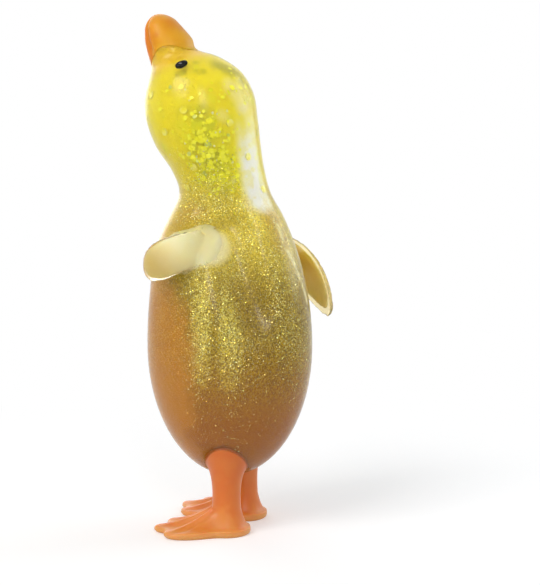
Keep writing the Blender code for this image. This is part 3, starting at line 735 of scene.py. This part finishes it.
coreLook = {
    "grain": (130.0, 0.9, 900.0, 0.5, 0.1), "scatter": (0.6, 3.0, (1.0, 0.8, 0.4), 0.06), "tipShare": 0.9,
    # colours at root and tip; the tip's colour is full where z + slope * y is tipTo, and gone at tipFrom
    # the near wing turns darker amber towards its lower tip: partly its own tone, partly painted shade
    "left": {
        "colour": (0.96, 0.88, 0.58, 1), "second": (0.96, 0.91, 0.70, 1), "tip": (0.67, 0.52, 0.18, 1),
        "slope": 0.8, "tipFrom": 85.0, "tipTo": 71.0,
    },
    "right": {
        "colour": (0.70, 0.55, 0.10, 1), "second": (0.80, 0.62, 0.19, 1), "tip": (0.97, 0.81, 0.52, 1),
        "slope": 0.0, "tipFrom": 86.0, "tipTo": 73.0,
    },
}

coreShape = {
    "left": 0.90, "right": 0.80, "cut": 0.05, "voxel": 0.45,  # share of the wing's width, what the tip lacks
    "from": (-12.5, 89.4), "to": (-3.5, 91.8), "full": 2.4, "none": 11.0,  # line of the shoulder and reach
    "under": 0.6, "sink": 2.2, "back": 6.0, "turns": (30, 165, 80), "rows": (22.0, 46.0, 90),
    "softRounds": 10, "softShare": 0.5,
}


def makeCoreMaterial(name, side):
    look = coreLook[side]
    material, tree, shader, place, y, z = newMaterial(name, look["colour"])
    soft = mottled(tree, place, look["colour"], look["second"], coreLook["grain"])
    along = plus(tree, z, times(tree, y, look["slope"]))
    fall = lengthRange(tree, along, look["tipTo"], look["tipFrom"], 1.0, 0.0)
    colour = mixColour(tree, times(tree, fall, coreLook["tipShare"]), soft.outputs["Colour"], look["tip"])
    dressShader(tree, shader, soft, colour)
    setScatter(shader, *coreLook["scatter"])
    return material


def makeShoulder():  # a pad just under the skin, sinking away all round its edge
    s = coreShape
    first, last, count = s["turns"]
    turns = np.linspace(math.radians(first), math.radians(last), count)
    t, turn = np.meshgrid(np.linspace(*s["rows"]), turns, indexing="ij")
    here, normal = pointsAt(t.ravel(), turn.ravel())
    share, off = alongLine(here[:, 1] - duckShape["standBack"], here[:, 2], s["from"], s["to"])
    away = np.hypot(off, np.maximum(0.0, np.maximum(-share, share - 1)) * math.dist(s["from"], s["to"]))
    sink = s["under"] + s["sink"] * smoothStep((away - s["full"]) / (s["none"] - s["full"]))
    outer = (here - normal * sink[:, None]).reshape(*t.shape, 3)
    inner = (here - normal * s["back"]).reshape(*t.shape, 3)
    rings = np.concatenate([outer, inner[:, ::-1]], axis=1)
    return meshFromRings("shoulder", rings, rings[0].mean(axis=0), rings[-1].mean(axis=0))


def makeCore(name, side, sign, parts=()):
    s = coreShape
    wing = makeWing(outerTree, sign, skinShape[side + "Root"], skinShape[side + "Wing"], s[side], s["cut"])
    core = remeshed(joinMeshes(name, [wing, *parts]), s["voxel"])
    return softened(core, s["softRounds"], s["softShare"])


leftCore = makeCore("leftWingCore", "left", 1, [makeShoulder()])
addPiece("leftWingCore", leftCore, makeCoreMaterial("milkyLeftCore", "left"))
rightCore = makeCore("rightWingCore", "right", -1)
addPiece("rightWingCore", rightCore, makeCoreMaterial("milkyRightCore", "right"))
print("wing cores")


# Beak

beakLook = {
    "orange": (0.68, 0.245, 0.009, 1), "gold": (0.81, 0.44, 0.018, 1), "mandible": (0.70, 0.20, 0.015, 1),
    "tip": (0.74, 0.28, 0.012, 1), "grain": (130.0, 0.6, 1500.0, 0.38, 0.1),
    "ripple": 0.1, "rippleStrength": 0.5, "scatter": (0.5, 3.0, (1.0, 0.4, 0.08), 0.25),
    # the line (y, z) between upper and lower beak, and how far from it the lower colour fades
    "splitLow": (-21.7, 146.6), "splitHigh": (-24.6, 157.2), "under": (-0.5, 0.6), "beside": (-0.5, 4.5),
    "tipFrom": (154.5, 163.0), "baseFrom": (163.5, 156.0), "baseLean": 0.4,  # base: along z - baseLean * y
    "baseShare": 0.9, "tipShare": 0.6, "underShare": 0.85, "besideShare": 0.40,
}


def makeBeakMaterial():
    look = beakLook
    material, tree, shader, place, y, z = newMaterial("orangeBeak", look["orange"])
    soft = mottled(tree, place, look["orange"], look["gold"], look["grain"])
    low, high = look["splitLow"], look["splitHigh"]
    lean = (high[0] - low[0]) / (high[1] - low[1])
    split = times(tree, minus(tree, z, low[1] * mm), lean)
    across = minus(tree, y, plus(tree, split, (low[0] + duckShape["standBack"]) * mm))
    under = times(tree, lengthRange(tree, across, *look["under"], 1.0, 0.0), look["underShare"])
    beside = lengthRange(tree, across, *look["beside"], look["besideShare"], 0.0)
    tip = times(tree, lengthRange(tree, z, *look["tipFrom"]), look["tipShare"])
    along = minus(tree, z, times(tree, y, look["baseLean"]))
    base = times(tree, lengthRange(tree, along, *look["baseFrom"]), look["baseShare"])
    colour = mixColour(tree, base, soft.outputs["Colour"], look["gold"])
    colour = mixColour(tree, tip, colour, look["tip"])
    colour = mixColour(tree, most(tree, beside, under), colour, look["mandible"])
    dressShader(tree, shader, soft, colour, look["ripple"], look["rippleStrength"])
    setScatter(shader, *look["scatter"])
    return material


beakShape = {"rows": 44, "tipRows": 18, "columns": 96, "behind": 0.3, "proud": 0.05, "end": (0, -0.01, 0.03)}


def makeBeak():
    s = beakShape
    rows = list(np.linspace(baseT - s["behind"], endT, s["rows"]))
    quarter = [math.pi / 2 * k / s["tipRows"] for k in range(1, s["tipRows"])]
    rows += [endT + duckShape["tipLength"] * math.sin(a) for a in quarter]
    grid = surfaceGrid(rows, s["columns"], lambda t, turn, points: np.full(t.shape, -s["proud"]))
    return meshFromRings("beak", grid, grid[0].mean(axis=0), grid[-1].mean(axis=0) + s["end"])


beakData = makeBeak()
addPiece("beak", beakData, makeBeakMaterial(), ["beak"])
print("beak", len(beakData.polygons))


# Eyes

eyeShape = {
    "place": (-11.5, 146.8), "halfLength": 2.0, "halfHeight": 1.3, "sunk": 0.9, "proud": 0.7, "points": 48,
    "squareTo": ((-17.3, 148.25), (-21.65, 158.15)),  # the long side lies square to this line (y, z)
    # share of the half sizes and height of the rings below the dome, then the dome's angles and their count
    "rings": ((0.94, -0.9), (1.0, -0.54), (1.0, -0.12), (0.99, 0.0)), "dome": (0.15, 1.5, 14),
    "glint": (11.8, -13.1, 146.9), "glintHalf": 0.25, "glintReach": (0.10, 0.42),
}

eyeLook = {
    "black": (0.006, 0.006, 0.008, 1), "second": (0.02, 0.018, 0.016, 1), "glint": (0.62, 0.58, 0.62, 1),
    "plain": (0.01, 0.01, 0.012), "grain": (800.0, 0.5, 4000.0, 0.12, 0.03), "specular": 0.1,
}


def makeEyeMaterial():
    s, look = eyeShape, eyeLook
    material, tree, shader, place, *_ = newMaterial("blackBead", look["plain"])
    soft = mottled(tree, place, look["black"], look["second"], look["grain"])
    # painted highlight: a small pale glint near the middle of each bead
    x, y, z = s["glint"]
    masks = []
    for side in (1, -1):
        ends = [(side * x, y + step, z) for step in (-s["glintHalf"], s["glintHalf"])]
        masks.append(maskNear(tree, place, *ends, *s["glintReach"]))
    colour = mixColour(tree, most(tree, *masks), soft.outputs["Colour"], look["glint"])
    dressShader(tree, shader, soft, colour)
    setShader(shader, Specular_IOR_Level=look["specular"])
    return material


def makeEye(side):
    s = eyeShape
    point, normal = sideHit(outerTree, side, *s["place"])
    low, high = s["squareTo"]
    line = Vector((0, high[0] - low[0], high[1] - low[1])).normalized()
    z = normal.normalized()
    x = line.cross(z).normalized()
    turned = Matrix((x, z.cross(x), z)).transposed()

    def placed(*local):
        return point + np.array(turned @ Vector(local))

    turns = np.linspace(0, 2 * math.pi, s["points"], endpoint=False)
    outline = list(s["rings"]) + [(math.cos(a), s["proud"] * math.sin(a)) for a in np.linspace(*s["dome"])]
    rings = []
    for r, h in outline:
        length, height = r * s["halfLength"], r * s["halfHeight"]
        rings.append([placed(length * math.cos(a), height * math.sin(a), h) for a in turns])
    return meshFromRings("eye", rings, placed(0, 0, -s["sunk"]), placed(0, 0, s["proud"]))


eyeMaterial = makeEyeMaterial()
for name, node, side in (("leftEye", "left_eye", 1), ("rightEye", "right_eye", -1)):
    addPiece(name, makeEye(side), eyeMaterial, [node])
print("eyes")


# Feet

footShape = {
    "ankleX": 10.0, "ankleY": 2.0, "splay": 13.0, "points": 144,
    "toe": 23.0, "sideToe": 20.5, "toeSpread": 24.0, "webDip": 2.6, "heel": 7.6, "heelFade": 26.0,
    "web": 2.2, "ridge": 1.0, "ridgeHalf": 5.5, "ridgeFrom": 0.25, "webThin": 0.45, "thinAt": (0.72, 0.3),
    "thinWithin": 34.0, "rimFrom": 0.93, "rimDrop": 0.3,
    "sole": ((0.93, 0.0), (0.975, 0.12), (1.0, 0.42)),  # share of the outline, height as a share of the web's
    "steps": (0.985, 0.96, 0.91, 0.84, 0.76, 0.68, 0.6, 0.52, 0.44, 0.36, 0.28, 0.2, 0.13, 0.07, 0.0),
    "ankle": 4.6, "instep": 8.0, "instepCurve": 2.4, "legTop": 5.4, "legCurve": 1.4, "legFrom": 0.1,
    "legRows": 18, "waist": 0.35, "flare": 1.3, "flareCurve": 6, "into": 0.6,
}

footLook = {
    "orange": (0.72, 0.19, 0.025, 1), "second": (0.78, 0.28, 0.05, 1), "light": (0.82, 0.38, 0.11, 1),
    "deep": (0.62, 0.13, 0.015, 1), "grain": (110.0, 0.8, 1300.0, 0.36, 0.12), "ripple": 0.15,
    "scatter": (0.55, 3.0, (1.0, 0.4, 0.1), 0.4),
    # heights between which the light web and the deeper leg come in
    "lightFrom": (3.2, 1.0), "lightShare": 0.85, "deepFrom": (8.0, 24.0), "deepShare": 0.6,
}


def footRadius(turn):  # degrees from the middle toe
    s = footShape
    turn = np.abs(turn)
    share = np.minimum(1.0, turn / s["toeSpread"])
    toes = s["toe"] + (s["sideToe"] - s["toe"]) * share**2
    toes = toes - s["webDip"] * np.sin(np.pi * turn / s["toeSpread"]) ** 2 * (turn < s["toeSpread"])
    past = np.maximum(0.0, turn - s["toeSpread"])
    return s["heel"] + (toes - s["heel"]) * bump(past / s["heelFade"])


def bellyAbove(x, y):  # height at which the leg has just entered the belly
    hit = outerTree.ray_cast(Vector((x * mm, y * mm, 0)), Vector((0, 0, 1)))[0]
    return hit.z / mm + footShape["into"]


def makeFoot(side):
    s = footShape
    turns = np.linspace(-180, 180, s["points"], endpoint=False)
    edge = footRadius(turns)
    ankle = np.array([side * s["ankleX"], s["ankleY"] + duckShape["standBack"], 0.0])
    spin = math.radians(side * s["splay"])

    def around(out):  # places at this distance from the ankle
        x, y = out * np.sin(np.radians(turns)), -out * np.cos(np.radians(turns))
        turned = [x * math.cos(spin) - y * math.sin(spin), x * math.sin(spin) + y * math.cos(spin)]
        return np.stack(turned, axis=-1) + ankle[:2]

    toes = (-s["toeSpread"], 0.0, s["toeSpread"])
    high = np.max([bump((turns - toe) / s["ridgeHalf"]) for toe in toes], axis=0)
    rings = [(around(share * edge), np.full_like(edge, height * s["web"])) for share, height in s["sole"]]
    for share in s["steps"]:
        instep = (s["instep"] - s["web"]) * (1 - share) ** s["instepCurve"]
        ridge = s["ridge"] * high * math.sin(math.pi * (s["ridgeFrom"] + (1 - s["ridgeFrom"]) * share))
        thin = -s["webThin"] * (1 - high) * bump((share - s["thinAt"][0]) / s["thinAt"][1])
        thin = thin * (np.abs(turns) < s["thinWithin"])
        rim = -s["rimDrop"] * s["web"] * np.clip((share - s["rimFrom"]) / (1 - s["rimFrom"]), 0, 1) ** 2
        places = around(s["ankle"] + (edge - s["ankle"]) * share)
        rings.append((places, s["web"] + instep + ridge + thin + rim))
    for share in np.linspace(s["legFrom"], 1.0, s["legRows"]):
        out = s["ankle"] + (s["legTop"] - s["ankle"]) * share ** s["legCurve"]
        out += s["flare"] * share ** s["flareCurve"] - s["waist"] * math.sin(math.pi * share)
        places = around(np.full_like(edge, out))
        tops = np.array([bellyAbove(*point) for point in places])
        rings.append((places, s["instep"] + (tops - s["instep"]) * share))
    grid = [np.concatenate([places, z[:, None]], axis=-1) for places, z in rings]
    return meshFromRings("foot", grid, ankle, ankle + np.array([0, 0, bellyAbove(*ankle[:2])]))


def makeFootMaterial():
    look = footLook
    material, tree, shader, place, y, z = newMaterial("orangeFoot", look["orange"])
    soft = mottled(tree, place, look["orange"], look["second"], look["grain"])
    web = times(tree, lengthRange(tree, z, *look["lightFrom"]), look["lightShare"])
    leg = times(tree, lengthRange(tree, z, *look["deepFrom"]), look["deepShare"])
    colour = mixColour(tree, web, soft.outputs["Colour"], look["light"])
    colour = mixColour(tree, leg, colour, look["deep"])
    dressShader(tree, shader, soft, colour, look["ripple"])
    setScatter(shader, *look["scatter"])
    return material


footMaterial = makeFootMaterial()
for name, node, side in (("leftFoot", "left_foot", 1), ("rightFoot", "right_foot", -1)):
    addPiece(name, makeFoot(side), footMaterial, [node])
print("feet")


# Flakes

flakeLook = {
    # colour, second colour, metal share, radius from and to, how many
    "lemonFlakes": ((1.0, 0.98, 0.002), (1.0, 1.0, 0.06), 0.0, 0.30, 1.0, 760),
    "mintFlakes": ((0.60, 0.66, 0.12), (0.76, 0.82, 0.34), 0.2, 0.5, 1.0, 40),
    "paleFlakes": ((0.95, 0.95, 0.50), (0.98, 0.97, 0.75), 0.1, 0.22, 0.50, 110),
}

glitterLook = {
    "goldGlitter": ((1.0, 0.87, 0.22), (1.0, 0.96, 0.50), 0.8, 0.12, 0.28, 13500),
    "greenGlitter": ((0.88, 0.95, 0.42), (0.97, 1.0, 0.80), 0.8, 0.12, 0.29, 7000),
}

filmGrain = (420.0, 1.0, 2500.0, 0.25, 0.1)

flakeShape = {
    "tries": 60, "heights": (20.0, 146.0), "rowsBelow": 60, "rows": 120,  # where a flake may start from
    "sizeBias": 1.7,  # small ones are common
    "rim": (0.72, 1.18), "thick": 0.06,  # uneven rim and half thickness, as shares of the radius
    "head": {"seed": 11, "depths": (1.0, 2.7), "tilt": 0.28, "corners": 6},
    "body": {"seed": 31, "depths": (0.25, 1.05), "tilt": 0.45, "corners": 3},
}

napeLine = ((6.4, 129.0), (11.0, 99.0))  # middle of the clear nape

headSpread = {
    "clumps": 46, "clumpSeed": 5, "middle": (-3.2, 120.5), "spread": (4.2, 6.8),
    "clumpReach": 1.1, "between": 0.10,
    "mainZ": (120.0, 10.5), "mainY": (-3.0, 7.0), "lean": 0.12, "leanFrom": 124.0,
    "crown": 0.05, "crownZ": (138.0, 8.0), "crownY": (2.0, 7.0), "few": 0.004, "fewZ": (112.0, 142.0),
    "napeShare": 0.8, "napeReach": 2.6,
}

bodySpread = {
    "top": (113.0, 2.5), "bottom": (22.0, 15.0), "thin": (42.0, 20.0), "thinShare": 0.30,
    "breast": (-10.0, 2.4), "breastLean": 0.10, "breastFrom": 75.0, "breastShare": 0.06,
    "wingLine": ((-17.0, 90.0), (-4.5, 92.0)), "wingHalf": 4.2, "wingFade": 1.8,
    "wingEnd": 1.5, "endFade": 0.16,  # shares of the wing line
    "napeHalf": 2.5, "napeFade": 1.5, "napeAbove": 98.0, "napeSide": -3.0,
    # middle y, reach, wave and its length of the two bands, and the leaning one on the back
    "bands": ((-5.0, 3.2, 1.2, 9.0), (5.5, 3.0, 1.2, 7.0)), "between": 0.16,
    "backY": (16.0, 3.5), "backLean": 0.2, "backFrom": 92.0, "dense": 0.9, "denseAbove": 90.0,
}


def makeFlakeMaterial(name, look):
    first, second, metal = look[:3]
    material, tree, shader, place, *_ = newMaterial(name, first)
    soft = mottled(tree, place, (*first, 1), (*second, 1), filmGrain)
    dressShader(tree, shader, soft, soft.outputs["Colour"])
    setShader(shader, Metallic=metal)
    return material


rowTs = np.concatenate([bottomRows(flakeShape["rowsBelow"]), np.linspace(0, baseT, flakeShape["rows"])])
rowHeights = middleLine(rowTs)[1]


def scatterFlakes(name, look, density, own, number):
    s = flakeShape
    pick = np.random.default_rng(own["seed"] + number)
    radiusLow, radiusHigh, count = look[3:6]
    corners, tries = own["corners"], count * s["tries"]
    turn = pick.uniform(0, 2 * math.pi, tries)
    here, normal = pointsAt(np.interp(pick.uniform(*s["heights"], tries), rowHeights, rowTs), turn)
    keep = np.nonzero(pick.random(tries) < density(here))[0][:count]
    here, normal, count = here[keep], normal[keep], len(keep)
    middle = (here - normal * pick.uniform(*own["depths"], count)[:, None])[:, None]
    spin = normal + pick.normal(0, own["tilt"], (count, 3))
    spin /= np.linalg.norm(spin, axis=1, keepdims=True)
    side = np.cross(spin, pick.normal(0, 1, (count, 3)))
    side /= np.linalg.norm(side, axis=1, keepdims=True)
    other = np.cross(spin, side)
    angle = (np.arange(corners) * 2 * math.pi / corners)[None, :, None]
    radius = (radiusLow + (radiusHigh - radiusLow) * pick.random(count) ** s["sizeBias"])[:, None, None]
    rim = (side[:, None] * np.cos(angle) + other[:, None] * np.sin(angle)) * radius
    rim = rim * pick.uniform(*s["rim"], (count, corners, 1))
    thick = spin[:, None] * radius * s["thick"]
    points = np.concatenate([middle + rim - thick, middle + rim + thick], axis=1).reshape(-1, 3) * mm
    low, high = list(range(corners)), list(range(corners, 2 * corners))
    sides = [(a, (a + 1) % corners, corners + (a + 1) % corners, corners + a) for a in low]
    one = [low[::-1], high, *sides]
    faces = [tuple(k + 2 * corners * i for k in face) for i in range(count) for face in one]
    data = bpy.data.meshes.new(name)
    data.from_pydata(points.tolist(), [], faces)
    return data


def hump(x, middle, reach):
    return bump((x - middle) / reach)


def plateau(x, half, fade):  # 1 within the half width, then falling
    return bump(np.maximum(0, x - half) / fade)


def placeClumps():
    s = headSpread
    return np.random.default_rng(s["clumpSeed"]).normal((0, 0), s["spread"], (s["clumps"], 2)) + s["middle"]


clumps = placeClumps()


def headDensity(point):  # clumps low on the side and nape, few near the face
    s = headSpread
    x, y, z = point.T
    away = np.hypot(y[:, None] - clumps[:, 0], z[:, None] - clumps[:, 1]).min(axis=1)
    main = s["between"] + (1 - s["between"]) * bump(away / s["clumpReach"])
    main = main * hump(z, *s["mainZ"]) * hump(y - s["lean"] * (s["leanFrom"] - z), *s["mainY"])
    crown = s["crown"] * hump(z, *s["crownZ"]) * hump(y, *s["crownY"])
    low, high = s["fewZ"]
    off = alongLine(y, z, *napeLine)[1]
    clear = 1 - s["napeShare"] * (x > 0) * bump(off / s["napeReach"]) * (z < napeLine[0][1])
    return clear * (np.maximum(main, crown) + s["few"] * (z > low) * (z < high))


def bodyDensity(point):  # bands down the sides, thin at the breast, none over the milky shoulder and the nape
    s = bodySpread
    x, y, z = point.T
    fade = (1 - rise(z, *s["top"])) * np.clip((z - s["bottom"][0]) / s["bottom"][1], 0, 1)
    breast = rise(y + s["breastLean"] * (z - s["breastFrom"]), *s["breast"])
    share, off = alongLine(y, z, *s["wingLine"])
    shoulder = plateau(np.abs(off), s["wingHalf"], s["wingFade"]) * plateau(share, s["wingEnd"], s["endFade"])
    off = alongLine(y, z, *napeLine)[1]
    nape = plateau(np.abs(off), s["napeHalf"], s["napeFade"]) * (z > s["napeAbove"])
    clear = (1 - (x > 0) * shoulder) * (1 - (x > s["napeSide"]) * nape)
    back = s["dense"] * hump(y - s["backLean"] * (s["backFrom"] - z), *s["backY"])
    bands = np.max([hump(y - wave * np.sin(z / length), middle, reach)
                    for middle, reach, wave, length in s["bands"]] + [back], axis=0)
    bands = np.maximum(s["between"] + (1 - s["between"]) * bands, s["dense"] * (z > s["denseAbove"]))
    thin = s["thinShare"] + (1 - s["thinShare"]) * np.clip((z - s["thin"][0]) / s["thin"][1], 0, 1)
    return fade * (s["breastShare"] + (1 - s["breastShare"]) * breast) * clear * bands * thin


scatters = (
    ("head", flakeLook, headDensity, "yellow_flakes"),
    ("body", glitterLook, bodyDensity, "gold_glitter_gel"),
)
for part, looks, density, slot in scatters:
    for number, (name, look) in enumerate(looks.items()):
        data = scatterFlakes(name, look, density, flakeShape[part], number)
        addPiece(name, data, makeFlakeMaterial(name + "Film", look), smooth=False)
print("flakes")


# CAD pieces that keep their shape

sequinLook = ((0.92, 0.83, 0.03), (0.96, 0.92, 0.30), 0.15)

plugLook = {
    "colour": (0.95, 0.90, 0.62, 1), "second": (0.98, 0.95, 0.78, 1), "plain": (0.95, 0.92, 0.7),
    "grain": (200.0, 1.0, 1200.0, 0.3, 0.08), "scatter": (0.5, 2.0, (1.0, 0.9, 0.5), 0.5),
}


def makePlugMaterial():
    look = plugLook
    material, tree, shader, place, *_ = newMaterial("clearPlug", look["plain"])
    soft = mottled(tree, place, look["colour"], look["second"], look["grain"])
    dressShader(tree, shader, soft, soft.outputs["Colour"])
    setScatter(shader, *look["scatter"])
    return material


sequinMaterial = makeFlakeMaterial("sequinFilm", sequinLook)
for name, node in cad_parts.items():
    if name.startswith("sequin"):
        setMaterial(node.data, sequinMaterial)
setMaterial(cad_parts["fill_plug"].data, makePlugMaterial())
print("carried over pieces")


# Floor, world, lights and camera

studio = {
    # radius, distance, target and lamps in m
    "worldStrength": 0.42, "floorRadius": 0.9, "floorColour": (0.86, 0.86, 0.86, 1), "floorLift": 0.22,
    "floorWhite": (60.0, 200.0),  # distances from the duck between which the floor turns white
    "photoAzimuth": 106.0, "photoElevation": 8.0, "distance": 0.6, "pixelsPerMm": 3.18, "sensor": 36.0,
    "target": (0.0, 0.0, 0.0825), "targetPixel": (233.0, 269.0), "imageSize": (540, 585),
    # name: direction from the object (right, up, towards camera), distance, width, height, watts, colour
    "lamps": {
        "keyLamp": ((-0.7, 0.75, 0.8), 0.85, 0.45, 0.45, 3.4, (1.0, 1.0, 1.0)),
        "frontLamp": ((0.10, 0.35, 1.0), 0.70, 0.16, 0.30, 0.8, (1.0, 1.0, 1.0)),
        "rightStrip": ((1.0, 0.50, -0.40), 0.45, 0.30, 0.30, 0.6, (0.88, 0.94, 1.0)),
        "backLamp": ((-0.45, 0.5, -1.0), 0.70, 0.5, 0.5, 1.0, (1.0, 1.0, 1.0)),
    },
}


def directRays(tree):  # 1 for rays from the camera, also after a reflection or through clear rubber
    rays = addNode(tree, "LightPath").outputs
    return most(tree, rays["Is Camera Ray"], rays["Is Glossy Ray"], rays["Is Transmission Ray"])


def makeFloor():
    s = studio
    data = bpy.data.meshes.new("floor")
    sheet = bmesh.new()
    bmesh.ops.create_circle(sheet, cap_ends=True, segments=96, radius=s["floorRadius"])
    sheet.to_mesh(data)
    sheet.free()
    material, tree, shader, place, *_ = newMaterial("paleFloor", s["floorColour"])
    setShader(shader, Base_Color=s["floorColour"], Roughness=0.9)
    seen = directRays(tree)
    glow = addNode(tree, "Emission", {"Color": (1, 1, 1, 1), "Strength": times(tree, seen, s["floorLift"])})
    lifted = addNode(tree, "AddShader", {0: shader.outputs[0], 1: glow.outputs[0]})
    white = addNode(tree, "Emission", {"Color": (1, 1, 1, 1), "Strength": 1.0})
    away = vectorMath(tree, "LENGTH", place, output="Value")
    far = times(tree, lengthRange(tree, away, *s["floorWhite"]), seen)
    blend = addNode(tree, "MixShader", {0: far, 1: lifted.outputs[0], 2: white.outputs[0]})
    tree.links.new(blend.outputs[0], tree.nodes["Material Output"].inputs["Surface"])
    setMaterial(data, material)
    addObject("floor", data)


def makeWorld():
    world = bpy.data.worlds.new("studio")
    bpy.context.scene.world = world
    world.use_nodes = True
    tree = world.node_tree
    back = tree.nodes["Background"]
    strength = {"Value": directRays(tree), "To Min": studio["worldStrength"], "To Max": 1.0}
    back.inputs["Color"].default_value = (1, 1, 1, 1)
    tree.links.new(addNode(tree, "MapRange", strength).outputs[0], back.inputs["Strength"])


def makeCamera():  # gives the camera's own directions
    s = studio
    a, e = math.radians(s["photoAzimuth"]), math.radians(s["photoElevation"])
    toward = Vector((math.sin(a) * math.cos(e), -math.cos(a) * math.cos(e), math.sin(e)))
    right = Vector((math.cos(a), math.sin(a), 0))
    up = toward.cross(right)
    target = Vector(s["target"])
    width, height = s["imageSize"]
    offX = (width / 2 - s["targetPixel"][0]) / s["pixelsPerMm"] * mm
    offY = (s["targetPixel"][1] - height / 2) / s["pixelsPerMm"] * mm
    data = bpy.data.cameras.new("photoCamera")
    data.sensor_width = s["sensor"]
    data.lens = s["sensor"] * s["pixelsPerMm"] * s["distance"] / mm / max(width, height)
    camera = addObject("photoCamera", data)
    camera.location = target + toward * s["distance"]
    looked = target + right * offX + up * offY
    camera.rotation_euler = (looked - camera.location).to_track_quat("-Z", "Y").to_euler()
    bpy.context.scene.camera = camera
    return right, up, toward


def makeLamps(*axes):
    for name, (direction, distance, width, height, watts, colour) in studio["lamps"].items():
        data = bpy.data.lights.new(name, "AREA")
        data.shape = "RECTANGLE"
        data.size, data.size_y, data.energy, data.color = width, height, watts, colour
        lamp = addObject(name, data)
        way = sum((axis * part for axis, part in zip(axes, direction)), Vector()).normalized()
        lamp.location = Vector(studio["target"]) + way * distance
        lamp.rotation_euler = (-way).to_track_quat("-Z", "Y").to_euler()


makeFloor()
makeWorld()
makeLamps(*makeCamera())
bpy.context.scene.view_settings.view_transform = "Standard"
print("studio")
